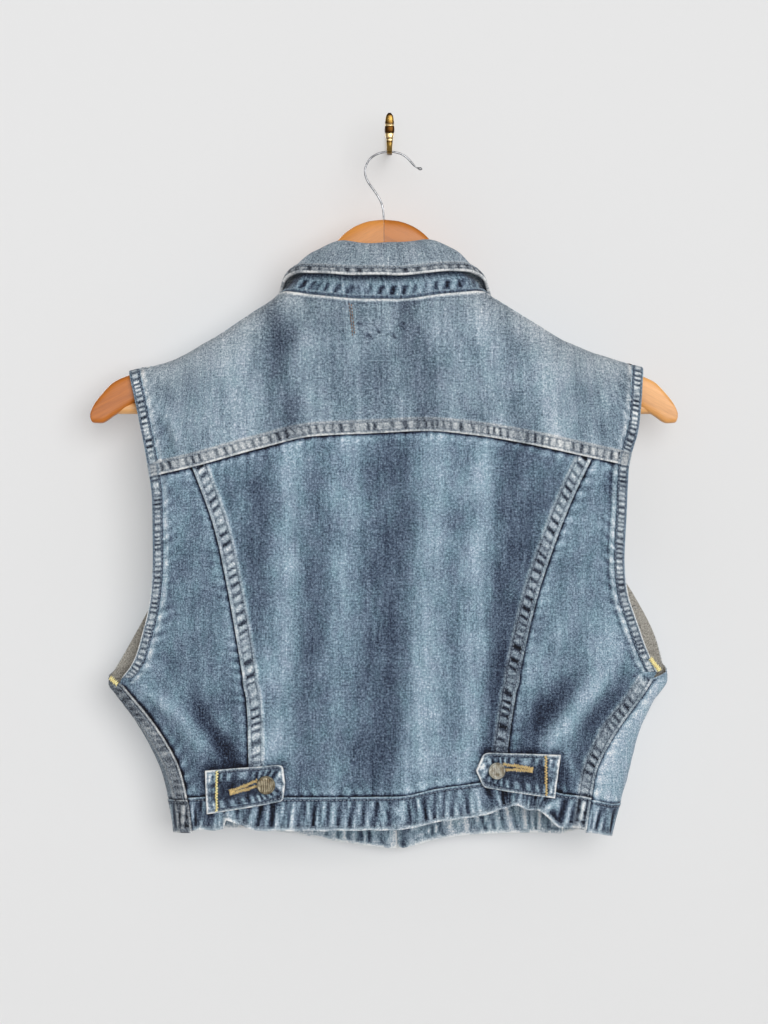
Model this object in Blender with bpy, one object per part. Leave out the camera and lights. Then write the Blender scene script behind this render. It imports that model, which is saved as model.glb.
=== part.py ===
"""A cropped denim gilet on a wooden coat hanger that hangs from a brass wall hook.

Metres, +Z up. The wall is the plane y = 0 and the gilet's back faces -Y.
The origin is on the back of the wall hook's plate.
The gilet and the hanger are placed about the hanger's middle plane, which HANGER_AT moves out from the wall.
"""

import functools
import math
from collections import namedtuple

import bmesh
import bpy
import numpy as np
from mathutils import Matrix, Vector

# Driving sizes
HANGER_AT = Vector((-0.0042, -0.0420, 0.0))
CLOTH = 0.0013
DOUBLE_CLOTH = 0.0022
GAP = 0.0003
SIDE_GAP = 0.0005
ROUND = 2.6
FOLD_RADIUS = 0.009
CREST_ROWS = (0.0, 0.0006, 0.0021, 0.0048, 0.0090)
BULGE_RUN = 0.075
ARMHOLE_FROM, ARMHOLE_TO = -0.300, -0.404
NECK_HALF = 0.081
NECK_BULGE_BACK, NECK_BULGE_FRONT = 0.014, 0.008
NECK_BULGE_DOWN = 0.070
FRONT_NECK_DROP = 0.064
FRONT_EDGE = 0.010
BAND_HEIGHT = 0.025
ARMHOLE_BAND = 0.0090
BAND_LIFT = 0.0005
PLACKET_WIDTH = 0.034
PLACKET_BELOW_NECK = 0.009
BACK, FRONT_LEFT, FRONT_RIGHT = 0, -1, 1

# The body's level sections: how far it reaches to each side, and how deep the back and the front lie
Section = namedtuple("Section", "z left right back front")
SECTIONS = (
    Section(-0.085, -0.240, 0.242, 0.021, 0.017),
    Section(-0.180, -0.230, 0.232, 0.023, 0.019),
    Section(-0.255, -0.217, 0.221, 0.024, 0.019),
    Section(-0.340, -0.209, 0.214, 0.022, 0.018),
    Section(-0.414, -0.210, 0.216, 0.020, 0.017),
    Section(-0.4306, -0.196, 0.2017, 0.020, 0.017),
    Section(-0.4518, -0.1836, 0.1920, 0.021, 0.018),
    Section(-0.4911, -0.1639, 0.1825, 0.024, 0.021),
    Section(-0.5319, -0.1583, 0.1730, 0.026, 0.024),
    Section(-0.560, -0.156, 0.168, 0.026, 0.024),
)

# Edges that run down the body, as height, place across and the face they lie on
Mark = namedtuple("Mark", "z x face")
ARMHOLE_BACK_LEFT = (
    Mark(-0.175, -0.1925, BACK),
    Mark(-0.210, -0.1851, BACK),
    Mark(-0.252, -0.1783, BACK),
    Mark(-0.278, -0.1750, BACK),
    Mark(-0.323, -0.1745, BACK),
    Mark(-0.354, -0.1770, BACK),
    Mark(-0.382, -0.1836, BACK),
    Mark(-0.400, -0.1895, BACK),
    Mark(-0.4125, -0.1985, BACK),
)
ARMHOLE_BACK_RIGHT = (
    Mark(-0.172, 0.1955, BACK),
    Mark(-0.2025, 0.1919, BACK),
    Mark(-0.252, 0.1843, BACK),
    Mark(-0.293, 0.1821, BACK),
    Mark(-0.323, 0.1815, BACK),
    Mark(-0.346, 0.1838, BACK),
    Mark(-0.3725, 0.1922, BACK),
    Mark(-0.391, 0.1990, BACK),
    Mark(-0.408, 0.2066, BACK),
)
SIDE_SEAM_LEFT = (
    Mark(-0.4185, -0.1975, BACK),
    Mark(-0.4435, -0.1764, BACK),
    Mark(-0.4646, -0.1624, BACK),
    Mark(-0.4812, -0.1541, BACK),
    Mark(-0.5024, -0.1485, BACK),
    Mark(-0.5350, -0.1440, BACK),
)
SIDE_SEAM_RIGHT = (
    Mark(-0.4150, 0.2030, BACK),
    Mark(-0.4284, 0.1941, BACK),
    Mark(-0.4491, 0.1787, BACK),
    Mark(-0.4673, 0.1676, BACK),
    Mark(-0.4843, 0.1600, BACK),
    Mark(-0.5047, 0.1562, BACK),
    Mark(-0.5350, 0.1515, BACK),
)
ARMHOLE_FRONT_LEFT = (
    Mark(-0.175, -0.1915, FRONT_LEFT),
    Mark(-0.220, -0.1760, FRONT_LEFT),
    Mark(-0.280, -0.1640, FRONT_LEFT),
    Mark(-0.330, -0.1660, FRONT_LEFT),
    Mark(-0.356, -0.1775, FRONT_LEFT),
    Mark(-0.3906, -0.1960, FRONT_LEFT),
    Mark(-0.4080, -0.2060, FRONT_LEFT),
)
ARMHOLE_FRONT_RIGHT = (
    Mark(-0.172, 0.1945, FRONT_RIGHT),
    Mark(-0.220, 0.1790, FRONT_RIGHT),
    Mark(-0.280, 0.1690, FRONT_RIGHT),
    Mark(-0.320, 0.1720, FRONT_RIGHT),
    Mark(-0.345, 0.1880, FRONT_RIGHT),
    Mark(-0.382, 0.2070, FRONT_RIGHT),
    Mark(-0.402, 0.2125, FRONT_RIGHT),
)
PRINCESS_LEFT = (
    Mark(-0.238, -0.1510, BACK),
    Mark(-0.256, -0.1435, BACK),
    Mark(-0.302, -0.1272, BACK),
    Mark(-0.345, -0.1180, BACK),
    Mark(-0.414, -0.1065, BACK),
    Mark(-0.442, -0.1030, BACK),
    Mark(-0.520, -0.1015, BACK),
)
PRINCESS_RIGHT = (
    Mark(-0.232, 0.1640, BACK),
    Mark(-0.247, 0.1564, BACK),
    Mark(-0.279, 0.1413, BACK),
    Mark(-0.310, 0.1292, BACK),
    Mark(-0.353, 0.1152, BACK),
    Mark(-0.407, 0.1030, BACK),
    Mark(-0.463, 0.0938, BACK),
    Mark(-0.520, 0.0890, BACK),
)

# Edges that run across the body, as place across and height
Level = namedtuple("Level", "x z")
SHOULDER = (
    Level(-0.2000, -0.1845),
    Level(-0.1843, -0.1798),
    Level(-0.1617, -0.1720),
    Level(-0.1330, -0.1568),
    Level(-0.1103, -0.1430),
    Level(-0.0810, -0.1230),
    Level(0.0, -0.0780),
    Level(0.0810, -0.1230),
    Level(0.1133, -0.1430),
    Level(0.1352, -0.1560),
    Level(0.1564, -0.1650),
    Level(0.1783, -0.1723),
    Level(0.2000, -0.1795),
)
BACK_NECK = (
    Level(-0.0810, -0.1230),
    Level(-0.0740, -0.1206),
    Level(-0.0520, -0.1235),
    Level(-0.0150, -0.1273),
    Level(0.0083, -0.1275),
    Level(0.0470, -0.1226),
    Level(0.0740, -0.1202),
    Level(0.0810, -0.1230),
)
YOKE_SEAM = (
    Level(-0.1850, -0.2625),
    Level(-0.1435, -0.2531),
    Level(-0.0937, -0.2395),
    Level(-0.0529, -0.2303),
    Level(-0.0091, -0.2280),
    Level(0.0325, -0.2263),
    Level(0.0657, -0.2291),
    Level(0.1027, -0.2350),
    Level(0.1587, -0.2469),
    Level(0.1950, -0.2545),
)
BACK_HEM = (
    Level(-0.1600, -0.5292),
    Level(-0.1200, -0.5265),
    Level(-0.0950, -0.5270),
    Level(0.0100, -0.5262),
    Level(0.0416, -0.5200),
    Level(0.0740, -0.5155),
    Level(0.0970, -0.5090),
    Level(0.1150, -0.5120),
    Level(0.1320, -0.5240),
    Level(0.1511, -0.5268),
    Level(0.1730, -0.5325),
)
FRONT_HEM = (
    Level(-0.1600, -0.5300),
    Level(-0.1200, -0.5290),
    Level(-0.0730, -0.5335),
    Level(-0.0300, -0.5410),
    Level(0.0100, -0.5455),
    Level(0.0420, -0.5385),
    Level(0.0725, -0.5345),
    Level(0.1200, -0.5330),
    Level(0.1730, -0.5330),
)

# The largest folds: place, the way each runs, half length, half width and how far it stands out
Fold = namedtuple("Fold", "x z turn length width height")
FOLDS = (
    Fold(-0.052, -0.350, 90, 0.120, 0.020, 0.0022),
    Fold(-0.002, -0.330, 90, 0.120, 0.018, -0.0022),
    Fold(0.044, -0.370, 90, 0.130, 0.020, 0.0024),
    Fold(-0.150, -0.440, -38, 0.034, 0.012, 0.0028),
    Fold(-0.130, -0.456, -35, 0.034, 0.011, -0.0020),
    Fold(0.146, -0.425, 66, 0.060, 0.013, 0.0030),
    Fold(0.168, -0.432, 54, 0.030, 0.011, -0.0020),
)

# The collar from centre back to centre front: the stand's height and lean, the fall's drop, reach and spread
Collar = namedtuple("Collar", "turn height lean drop reach spread")
COLLAR = (
    Collar(0.00, 0.0433, 0.0090, 0.0256, 0.0190, 0.0),
    Collar(0.13, 0.0432, 0.0095, 0.0258, 0.0190, 0.0),
    Collar(0.25, 0.0335, 0.0100, 0.0175, 0.0200, 0.0),
    Collar(0.36, 0.0220, 0.0120, 0.0090, 0.0185, 0.0),
    Collar(0.50, 0.0200, 0.0130, 0.0100, 0.0150, 0.0),
    Collar(0.66, 0.0200, 0.0080, 0.0360, 0.0180, 0.004),
    Collar(0.84, 0.0190, 0.0060, 0.0600, 0.0160, 0.018),
    Collar(0.97, 0.0180, 0.0050, 0.0620, 0.0140, 0.046),
)
ROLL_RADIUS = 0.0036
STAND_CLOTH = 0.0016
STAND_BOW = 0.055
FALL_CLEAR = 0.0080
FALL_BOW = 0.65
FRONT_ROLL_CLEAR = 0.0018
SIDE_ROLL_CLEAR = 0.0020
STATIONS = 19
STATION_TURN = 0.05

# Waist tabs: the four sides of each, the point of its free end, and its button
Tab = namedtuple("Tab", "name tail head top_tail top_head low_tail low_head point button_x button_z radius")
TABS = (
    Tab("left", -0.1338, -0.0760, -0.4822, -0.4776, -0.5150, -0.5054, 0.0018, -0.0882, -0.4926, 0.0070),
    Tab("right", 0.1300, 0.0750, -0.4699, -0.4685, -0.5027, -0.4950, 0.0060, 0.0846, -0.4820, 0.0064),
)
TAB_LIFT = 0.0016
FRONT_BUTTONS = 5
FRONT_BUTTON_RADIUS = 0.0085

# The hanger's outline, half of it, from the middle of the top round the tip to the middle of the lower edge
HANGER_HALF = 0.006
HANGER_ROUNDING = 0.005
HANGER_UNDER_CLOTH = 0.0020
HANGER_TOP = (
    Level(0.0, -0.0665),
    Level(0.010, -0.0675),
    Level(0.020, -0.0708),
    Level(0.029, -0.0762),
    Level(0.0360, -0.0830),
    Level(0.0430, -0.0925),
    Level(0.0510, -0.1040),
    Level(0.0600, -0.1180),
    Level(0.0700, -0.1298),
    Level(0.0810, -0.1340),
)
HANGER_TIP = (
    Level(0.2045, -0.1880),
    Level(0.2140, -0.1975),
    Level(0.2200, -0.2060),
    Level(0.2228, -0.2130),
    Level(0.2190, -0.2190),
)
HANGER_LOW = (
    Level(0.2050, -0.2130),
    Level(0.1800, -0.1985),
    Level(0.1300, -0.1800),
    Level(0.0900, -0.1630),
    Level(0.0450, -0.1420),
    Level(0.0, -0.1340),
)
BAR_AT = -0.2080
BAR_HALF = 0.2045
BAR_RADIUS = 0.0046

# The wire hook, in the hanger's plane
WIRE_RADIUS = 0.0012
WIRE = (
    Level(0.0, -0.1000),
    Level(0.0, -0.0600),
    Level(-0.0035, -0.0490),
    Level(-0.0130, -0.0365),
    Level(-0.0147, -0.0290),
    Level(-0.0115, -0.0200),
    Level(-0.0030, -0.0150),
    Level(0.0045, -0.0141),
    Level(0.0125, -0.0155),
    Level(0.0195, -0.0205),
    Level(0.0240, -0.0262),
    Level(0.0288, -0.0272),
)

# The wall hook: a flat plate, and a bar that runs out, under the wire and up
PLATE_WIDTH, PLATE_TALL, PLATE_THICK = 0.0080, 0.0340, 0.0026
SCREW_BORE, SCREW_AT = 0.0017, 0.0095
Bar = namedtuple("Bar", "y z wide thick")
HOOK_BAR = (
    Bar(-0.0012, -0.0130, 0.0058, 0.0030),
    Bar(-0.0120, -0.0146, 0.0056, 0.0028),
    Bar(-0.0300, -0.0166, 0.0054, 0.0026),
    Bar(-0.0405, -0.0170, 0.0052, 0.0025),
    Bar(-0.0448, -0.0154, 0.0052, 0.0026),
    Bar(-0.0464, -0.0110, 0.0056, 0.0028),
    Bar(-0.0474, 0.0000, 0.0074, 0.0032),
    Bar(-0.0484, 0.0090, 0.0076, 0.0032),
    Bar(-0.0488, 0.0130, 0.0064, 0.0030),
    Bar(-0.0489, 0.0144, 0.0034, 0.0018),
)

FINISHES = {
    "denim": ((0.235, 0.330, 0.415, 1.0), 0.90, 0.0),
    "denim_pale": ((0.330, 0.410, 0.470, 1.0), 0.90, 0.0),
    "button_metal": ((0.340, 0.210, 0.090, 1.0), 0.38, 1.0),
    "hanger_wood": ((0.640, 0.330, 0.110, 1.0), 0.42, 0.0),
    "hanger_wood_deep": ((0.560, 0.260, 0.080, 1.0), 0.42, 0.0),
    "bar_wood": ((0.720, 0.480, 0.230, 1.0), 0.50, 0.0),
    "hook_wire": ((0.560, 0.570, 0.580, 1.0), 0.25, 1.0),
    "hook_brass": ((0.620, 0.430, 0.170, 1.0), 0.24, 1.0),
}


def through(xs, ys):
    """A smooth curve through the given points, with no overshoot between them."""
    order = np.argsort(xs)
    xs = np.asarray(xs, float)[order]
    ys = np.asarray(ys, float)[order]
    step = np.diff(xs)
    chord = np.diff(ys) / step
    slope = np.empty_like(ys)
    slope[0] = chord[0]
    slope[-1] = chord[-1]
    product = chord[:-1] * chord[1:]
    total = np.where(product > 0, chord[:-1] + chord[1:], 1.0)
    slope[1:-1] = np.where(product > 0, 2 * product / total, 0.0)

    def at(x):
        x = np.clip(x, xs[0], xs[-1])
        i = np.clip(np.searchsorted(xs, x) - 1, 0, len(step) - 1)
        t = (x - xs[i]) / step[i]
        level = ys[i] * (1 + 2 * t) * (1 - t) ** 2 + ys[i + 1] * t * t * (3 - 2 * t)
        return level + step[i] * t * (1 - t) * (slope[i] * (1 - t) - slope[i + 1] * t)

    return at


def level_curve(rows):
    return through([r.x for r in rows], [r.z for r in rows])


def raised(curve, distance):
    return lambda x: curve(x) + distance


def at_height(z):
    return lambda x: np.full_like(x, z)


def ease(t):
    t = np.clip(t, 0.0, 1.0)
    return t * t * (3 - 2 * t)


heights = [s.z for s in SECTIONS]
reach_left = through(heights, [s.left for s in SECTIONS])
reach_right = through(heights, [s.right for s in SECTIONS])
depth_back = through(heights, [s.back for s in SECTIONS])
depth_front = through(heights, [s.front for s in SECTIONS])
shoulder = level_curve(SHOULDER)
back_neck = level_curve(BACK_NECK)
yoke_seam = level_curve(YOKE_SEAM)
back_hem = level_curve(BACK_HEM)
front_hem = level_curve(FRONT_HEM)


def front_neck(x):
    return shoulder(NECK_HALF) - FRONT_NECK_DROP * (1 - np.clip(np.abs(x) / NECK_HALF, 0, 1) ** 2)


def back_top(x):
    return np.where(np.abs(x) < NECK_HALF, back_neck(x), shoulder(x))


def front_top(x):
    return np.where(np.abs(x) < NECK_HALF, front_neck(x), shoulder(x))


def back_band_top(x):
    return back_hem(x) + BAND_HEIGHT


def front_band_top(x):
    return front_hem(x) + BAND_HEIGHT


def angle_at(x, z, face):
    """The angle round the body of a place across it, on the back or on the left or right of the front."""
    left = reach_left(z)
    right = reach_right(z)
    t = np.clip((2 * x - left - right) / (right - left), -1, 1)
    angle = np.arcsin(np.sign(t) * np.abs(t) ** (ROUND / 2))
    return angle if face == BACK else face * np.pi - angle


def across(angle, z):
    left = reach_left(z)
    right = reach_right(z)
    turn = np.sin(angle)
    return (left + right) / 2 + (right - left) / 2 * np.sign(turn) * np.abs(turn) ** (2 / ROUND)


def folds(x, z):
    """How far the largest folds stand out at a place on the back."""
    out = np.zeros_like(x)
    for fold in FOLDS:
        turn = math.radians(fold.turn)
        along = (x - fold.x) * math.cos(turn) + (z - fold.z) * math.sin(turn)
        aside = (z - fold.z) * math.cos(turn) - (x - fold.x) * math.sin(turn)
        out = out + fold.height * np.exp(-((aside / fold.width) ** 2) - (along / fold.length) ** 4)
    return out


def body(angle, z):
    """Points on the outside of the gilet's body."""
    x = across(angle, z)
    on_back = np.cos(angle) > 0
    side = np.abs(np.cos(angle)) ** (2 / ROUND)
    below = np.clip(shoulder(x) - z, 0, None)
    crest = np.sqrt(np.clip(1 - (1 - np.clip(below / FOLD_RADIUS, 0, 1)) ** 2, 0, 1))
    full = np.where(on_back, depth_back(z), depth_front(z))
    full = FOLD_RADIUS + (full - FOLD_RADIUS) * ease(below / BULGE_RUN)
    closed = ease((ARMHOLE_FROM - z) / (ARMHOLE_FROM - ARMHOLE_TO))
    depth = full * side + FOLD_RADIUS * (1 - side) * (1 - closed)
    neck = np.where(on_back, NECK_BULGE_BACK, NECK_BULGE_FRONT)
    neck_at = np.where(on_back, back_top(x), front_top(x))
    neck = neck * np.clip(1 - (x / (1.25 * NECK_HALF)) ** 2, 0, 1)
    depth = depth + neck * np.exp(-((np.clip(neck_at - z, 0, None) / NECK_BULGE_DOWN) ** 2))
    depth = depth + np.where(on_back, folds(x, z), 0.0) * side
    depth = crest * depth + GAP / 2 * (1 - closed)
    return np.stack([x, np.where(on_back, -depth, depth), z], axis=-1)


def edge(rows, shift=0.0):
    """The angle of an edge that runs down the body, moved sideways by shift, for any height."""
    shifts = [shift if r.face == BACK else -shift for r in rows]
    angles = [float(angle_at(np.float64(r.x + s), r.z, r.face)) for r, s in zip(rows, shifts)]
    return through([r.z for r in rows], angles)


def centre_edge(x, face):
    return lambda z: angle_at(x, z, face)


def patch(left, right, top, bottom, a, b):
    """Points of the body between four edges: a runs round from left to right, b from the top down."""
    z = np.full(np.broadcast(a, b).shape, -0.3)
    for _ in range(14):
        angle = left(z) * (1 - a) + right(z) * a
        x = across(angle, z)
        z = top(x) * (1 - b) + bottom(x) * b
    return body(angle, z)


def columns_at(left, right, top, xs, face):
    """Where columns of a patch start so that they meet its top edge at the given places across."""
    z = top(xs)
    return (angle_at(xs, z, face) - left(z)) / (right(z) - left(z))


def grid(shape, columns, rows, tall=0.0):
    """Points and outward normals of a patch. One that starts on a shoulder says how tall it is."""
    a = np.linspace(0, 1, columns + 1) if np.isscalar(columns) else columns
    a = a[None, :]
    b = np.linspace(0, 1, rows + 1)
    if tall:
        crest = np.array(CREST_ROWS) / tall
        b = np.concatenate([crest[:-1], np.linspace(crest[-1], 1, rows + 1)])
    b = b[:, None]
    nudge = 1e-4
    points = shape(a, b)
    aside = shape(np.clip(a + nudge, 0, 1), b) - shape(np.clip(a - nudge, 0, 1), b)
    down = shape(a, np.clip(b + nudge, 0, 1)) - shape(a, np.clip(b - nudge, 0, 1))
    normals = np.cross(down, aside)
    return points, normals / np.linalg.norm(normals, axis=-1, keepdims=True)


def finish(name, look):
    """A piece's own material, in one of the finishes."""
    material = bpy.data.materials.new(name)
    colour, roughness, metallic = FINISHES[look]
    material.use_nodes = True
    surface = material.node_tree.nodes["Principled BSDF"]
    surface.inputs["Base Color"].default_value = colour
    surface.inputs["Roughness"].default_value = roughness
    surface.inputs["Metallic"].default_value = metallic
    return material


def add_mesh(name, bm, look, parent):
    bmesh.ops.recalc_face_normals(bm, faces=bm.faces)
    mesh = bpy.data.meshes.new(name)
    bm.to_mesh(mesh)
    bm.free()
    thing = bpy.data.objects.new(name, mesh)
    bpy.context.scene.collection.objects.link(thing)
    mesh.materials.append(finish(name, look))
    thing.parent = parent
    return thing


def wall(name, points, normals, low, high, look="denim", parent=None):
    """A closed sheet of cloth between two distances from a grid of points."""
    bm = bmesh.new()
    rows, columns = points.shape[:2]
    sides = []
    for distance in (high, low):
        moved = (points + normals * distance).reshape(-1, 3)
        sides.append([bm.verts.new(p) for p in moved])
    outer, inner = sides
    for r in range(rows - 1):
        for c in range(columns - 1):
            i = r * columns + c
            corners = (i, i + 1, i + columns + 1, i + columns)
            bm.faces.new([outer[k] for k in corners])
            bm.faces.new([inner[k] for k in reversed(corners)])
    rim = [c for c in range(columns)]
    rim += [r * columns + columns - 1 for r in range(1, rows)]
    rim += [(rows - 1) * columns + c for c in range(columns - 2, -1, -1)]
    rim += [r * columns for r in range(rows - 2, 0, -1)]
    for i, k in zip(rim, rim[1:] + rim[:1]):
        bm.faces.new((outer[k], outer[i], inner[i], inner[k]))
    return add_mesh(name, bm, look, parent)


def turned(name, profile, place, facing, look, parent, sides=20):
    """A turned solid: profile rows are radius and height along facing."""
    bm = bmesh.new()
    rings = []
    for radius, height in profile:
        ring = []
        for k in range(sides):
            angle = 2 * math.pi * k / sides
            ring.append(bm.verts.new((radius * math.cos(angle), radius * math.sin(angle), height)))
        rings.append(ring)
    for low, high in zip(rings, rings[1:]):
        for k in range(sides):
            bm.faces.new((low[k], low[(k + 1) % sides], high[(k + 1) % sides], high[k]))
    bm.faces.new(list(reversed(rings[0])))
    bm.faces.new(rings[-1])
    turn = Vector((0, 0, 1)).rotation_difference(facing).to_matrix().to_4x4()
    bmesh.ops.transform(bm, matrix=Matrix.Translation(place) @ turn, verts=bm.verts)
    return add_mesh(name, bm, look, parent)


def button_profile(radius):
    return (
        (radius * 0.45, 0.0),
        (radius * 0.45, 0.0010),
        (radius * 0.96, 0.0014),
        (radius, 0.0022),
        (radius * 0.90, 0.0030),
        (radius * 0.60, 0.0027),
        (radius * 0.30, 0.0031),
    )


def solid_from_outline(outline, half):
    """A closed solid: an outline in the hanger's plane, as thick as half to each side."""
    bm = bmesh.new()
    face = bm.faces.new([bm.verts.new((x, -half, z)) for x, z in outline])
    moved = bmesh.ops.extrude_face_region(bm, geom=[face])["geom"]
    corners = [v for v in moved if isinstance(v, bmesh.types.BMVert)]
    bmesh.ops.translate(bm, vec=(0, 2 * half, 0), verts=corners)
    bmesh.ops.recalc_face_normals(bm, faces=bm.faces)
    return bm


def cutter(name, radius, start, end, sides=24):
    """A round bar that only cuts other solids."""
    start = Vector(start)
    run = Vector(end) - start
    bm = bmesh.new()
    size = {"radius1": radius, "radius2": radius, "depth": run.length}
    bmesh.ops.create_cone(bm, cap_ends=True, segments=sides, **size)
    turn = Vector((0, 0, 1)).rotation_difference(run).to_matrix().to_4x4()
    bmesh.ops.transform(bm, matrix=Matrix.Translation(start + run / 2) @ turn, verts=bm.verts)
    mesh = bpy.data.meshes.new(name)
    bm.to_mesh(mesh)
    bm.free()
    thing = bpy.data.objects.new(name, mesh)
    bpy.context.scene.collection.objects.link(thing)
    thing.hide_render = True
    thing.hide_viewport = True
    return thing


def combine(thing, other, operation):
    step = thing.modifiers.new(other.name, "BOOLEAN")
    step.operation = operation
    step.solver = "EXACT"
    step.object = other


for old in list(bpy.data.objects):
    bpy.data.objects.remove(old)

hanger_place = bpy.data.objects.new("hanger_place", None)
bpy.context.scene.collection.objects.link(hanger_place)
hanger_place.location = HANGER_AT

HALF_GAP = GAP / 2

# Columns that meet the stations of the collar round the neck
back_turns = np.arange(-0.5, 0.51, STATION_TURN) * np.pi
neck_xs = NECK_HALF * np.sin(back_turns)
yoke_edges = (edge(ARMHOLE_BACK_LEFT, HALF_GAP), edge(ARMHOLE_BACK_RIGHT, -HALF_GAP))
yoke_neck = columns_at(*yoke_edges, back_top, neck_xs, BACK)
yoke_shoulders = (np.linspace(0, yoke_neck[0], 9)[:-1], np.linspace(yoke_neck[-1], 1, 9)[1:])
yoke_columns = np.concatenate([yoke_shoulders[0], yoke_neck, yoke_shoulders[1]])
front_xs = NECK_HALF * np.sin(np.arange(0.5, STATIONS * STATION_TURN + 0.01, STATION_TURN) * np.pi)
left_side = ARMHOLE_FRONT_LEFT + SIDE_SEAM_LEFT
left_edges = (centre_edge(FRONT_EDGE - HALF_GAP, FRONT_LEFT), edge(left_side, -SIDE_GAP))
right_side = ARMHOLE_FRONT_RIGHT + SIDE_SEAM_RIGHT
right_edges = (edge(right_side, SIDE_GAP), centre_edge(FRONT_EDGE + HALF_GAP, FRONT_RIGHT))
left_neck = columns_at(*left_edges, front_top, -front_xs[::-1], FRONT_LEFT)
right_neck = columns_at(*right_edges, front_top, front_xs, FRONT_RIGHT)
left_columns = np.concatenate([[0.0], left_neck, np.linspace(left_neck[-1], 1, 8)[1:]])
right_columns = np.concatenate([np.linspace(0, right_neck[0], 8)[:-1], right_neck, [1.0]])

# Back panels
back_left_edge = ARMHOLE_BACK_LEFT + SIDE_SEAM_LEFT
back_right_edge = ARMHOLE_BACK_RIGHT + SIDE_SEAM_RIGHT
panels = {
    "back_yoke": (
        *yoke_edges,
        back_top,
        raised(yoke_seam, HALF_GAP),
        (yoke_columns, 6, 0.090),
    ),
    "back_centre": (
        edge(PRINCESS_LEFT, HALF_GAP),
        edge(PRINCESS_RIGHT, -HALF_GAP),
        raised(yoke_seam, -HALF_GAP),
        raised(back_band_top, HALF_GAP),
        (16, 20),
    ),
    "back_side_left": (
        edge(back_left_edge, SIDE_GAP),
        edge(PRINCESS_LEFT, -HALF_GAP),
        raised(yoke_seam, -HALF_GAP),
        raised(back_band_top, HALF_GAP),
        (8, 20),
    ),
    "back_side_right": (
        edge(PRINCESS_RIGHT, HALF_GAP),
        edge(back_right_edge, -SIDE_GAP),
        raised(yoke_seam, -HALF_GAP),
        raised(back_band_top, HALF_GAP),
        (8, 20),
    ),
    "front_left": (
        *left_edges,
        front_top,
        raised(front_band_top, HALF_GAP),
        (left_columns, 20, 0.360),
    ),
    "front_right": (
        *right_edges,
        front_top,
        raised(front_band_top, HALF_GAP),
        (right_columns, 20, 0.360),
    ),
}
for name, (*sides, counts) in panels.items():
    points, normals = grid(functools.partial(patch, *sides), *counts)
    wall(name, points, normals, -CLOTH, 0.0, "denim_pale" if name == "back_yoke" else "denim", hanger_place)

# Waistband and the bands along the armholes, which lie on the panels' own form
BAND_OUT = DOUBLE_CLOTH - CLOTH
seams = [edge(rows)(-0.500) for rows in (SIDE_SEAM_LEFT, PRINCESS_LEFT, PRINCESS_RIGHT, SIDE_SEAM_RIGHT)]
band_counts = (8, 16, 8)
band_angles = [seams[:1]]
for start, end, count in zip(seams, seams[1:], band_counts):
    band_angles.append(np.linspace(start, end, count + 1)[1:])
band_columns = (np.concatenate(band_angles) - seams[0]) / (seams[3] - seams[0])
strips = {
    "waistband_back": (
        edge(SIDE_SEAM_LEFT, HALF_GAP),
        edge(SIDE_SEAM_RIGHT, -HALF_GAP),
        raised(back_band_top, -HALF_GAP),
        back_hem,
        (band_columns, 1),
        (-CLOTH, BAND_OUT),
    ),
    "waistband_front_left": (
        centre_edge(FRONT_EDGE - HALF_GAP, FRONT_LEFT),
        edge(SIDE_SEAM_LEFT, -SIDE_GAP),
        raised(front_band_top, -HALF_GAP),
        front_hem,
        (left_columns, 1),
        (-CLOTH, BAND_OUT),
    ),
    "waistband_front_right": (
        edge(SIDE_SEAM_RIGHT, SIDE_GAP),
        centre_edge(FRONT_EDGE + HALF_GAP, FRONT_RIGHT),
        raised(front_band_top, -HALF_GAP),
        front_hem,
        (right_columns, 1),
        (-CLOTH, BAND_OUT),
    ),
    "armhole_back_left": (
        edge(ARMHOLE_BACK_LEFT, HALF_GAP),
        edge(ARMHOLE_BACK_LEFT, ARMHOLE_BAND),
        shoulder,
        at_height(ARMHOLE_BACK_LEFT[-1].z),
        (1, 18, 0.235),
        (BAND_LIFT, BAND_LIFT + CLOTH),
    ),
    "armhole_back_right": (
        edge(ARMHOLE_BACK_RIGHT, -ARMHOLE_BAND),
        edge(ARMHOLE_BACK_RIGHT, -HALF_GAP),
        shoulder,
        at_height(ARMHOLE_BACK_RIGHT[-1].z),
        (1, 18, 0.235),
        (BAND_LIFT, BAND_LIFT + CLOTH),
    ),
    "armhole_front_left": (
        edge(ARMHOLE_FRONT_LEFT, -ARMHOLE_BAND),
        edge(ARMHOLE_FRONT_LEFT, -HALF_GAP),
        shoulder,
        at_height(ARMHOLE_FRONT_LEFT[-1].z),
        (1, 18, 0.235),
        (BAND_LIFT, BAND_LIFT + CLOTH),
    ),
    "armhole_front_right": (
        edge(ARMHOLE_FRONT_RIGHT, HALF_GAP),
        edge(ARMHOLE_FRONT_RIGHT, ARMHOLE_BAND),
        shoulder,
        at_height(ARMHOLE_FRONT_RIGHT[-1].z),
        (1, 18, 0.235),
        (BAND_LIFT, BAND_LIFT + CLOTH),
    ),
    "placket": (
        centre_edge(FRONT_EDGE + PLACKET_WIDTH / 2, FRONT_LEFT),
        centre_edge(FRONT_EDGE - PLACKET_WIDTH / 2, FRONT_LEFT),
        raised(front_neck, -PLACKET_BELOW_NECK),
        raised(front_hem, GAP),
        (1, 16),
        (BAND_OUT + GAP, BAND_OUT + GAP + DOUBLE_CLOTH),
    ),
}
for name, (*sides, counts, layers) in strips.items():
    points, normals = grid(functools.partial(patch, *sides), *counts)
    wall(name, points, normals, *layers, "denim", hanger_place)

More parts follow.
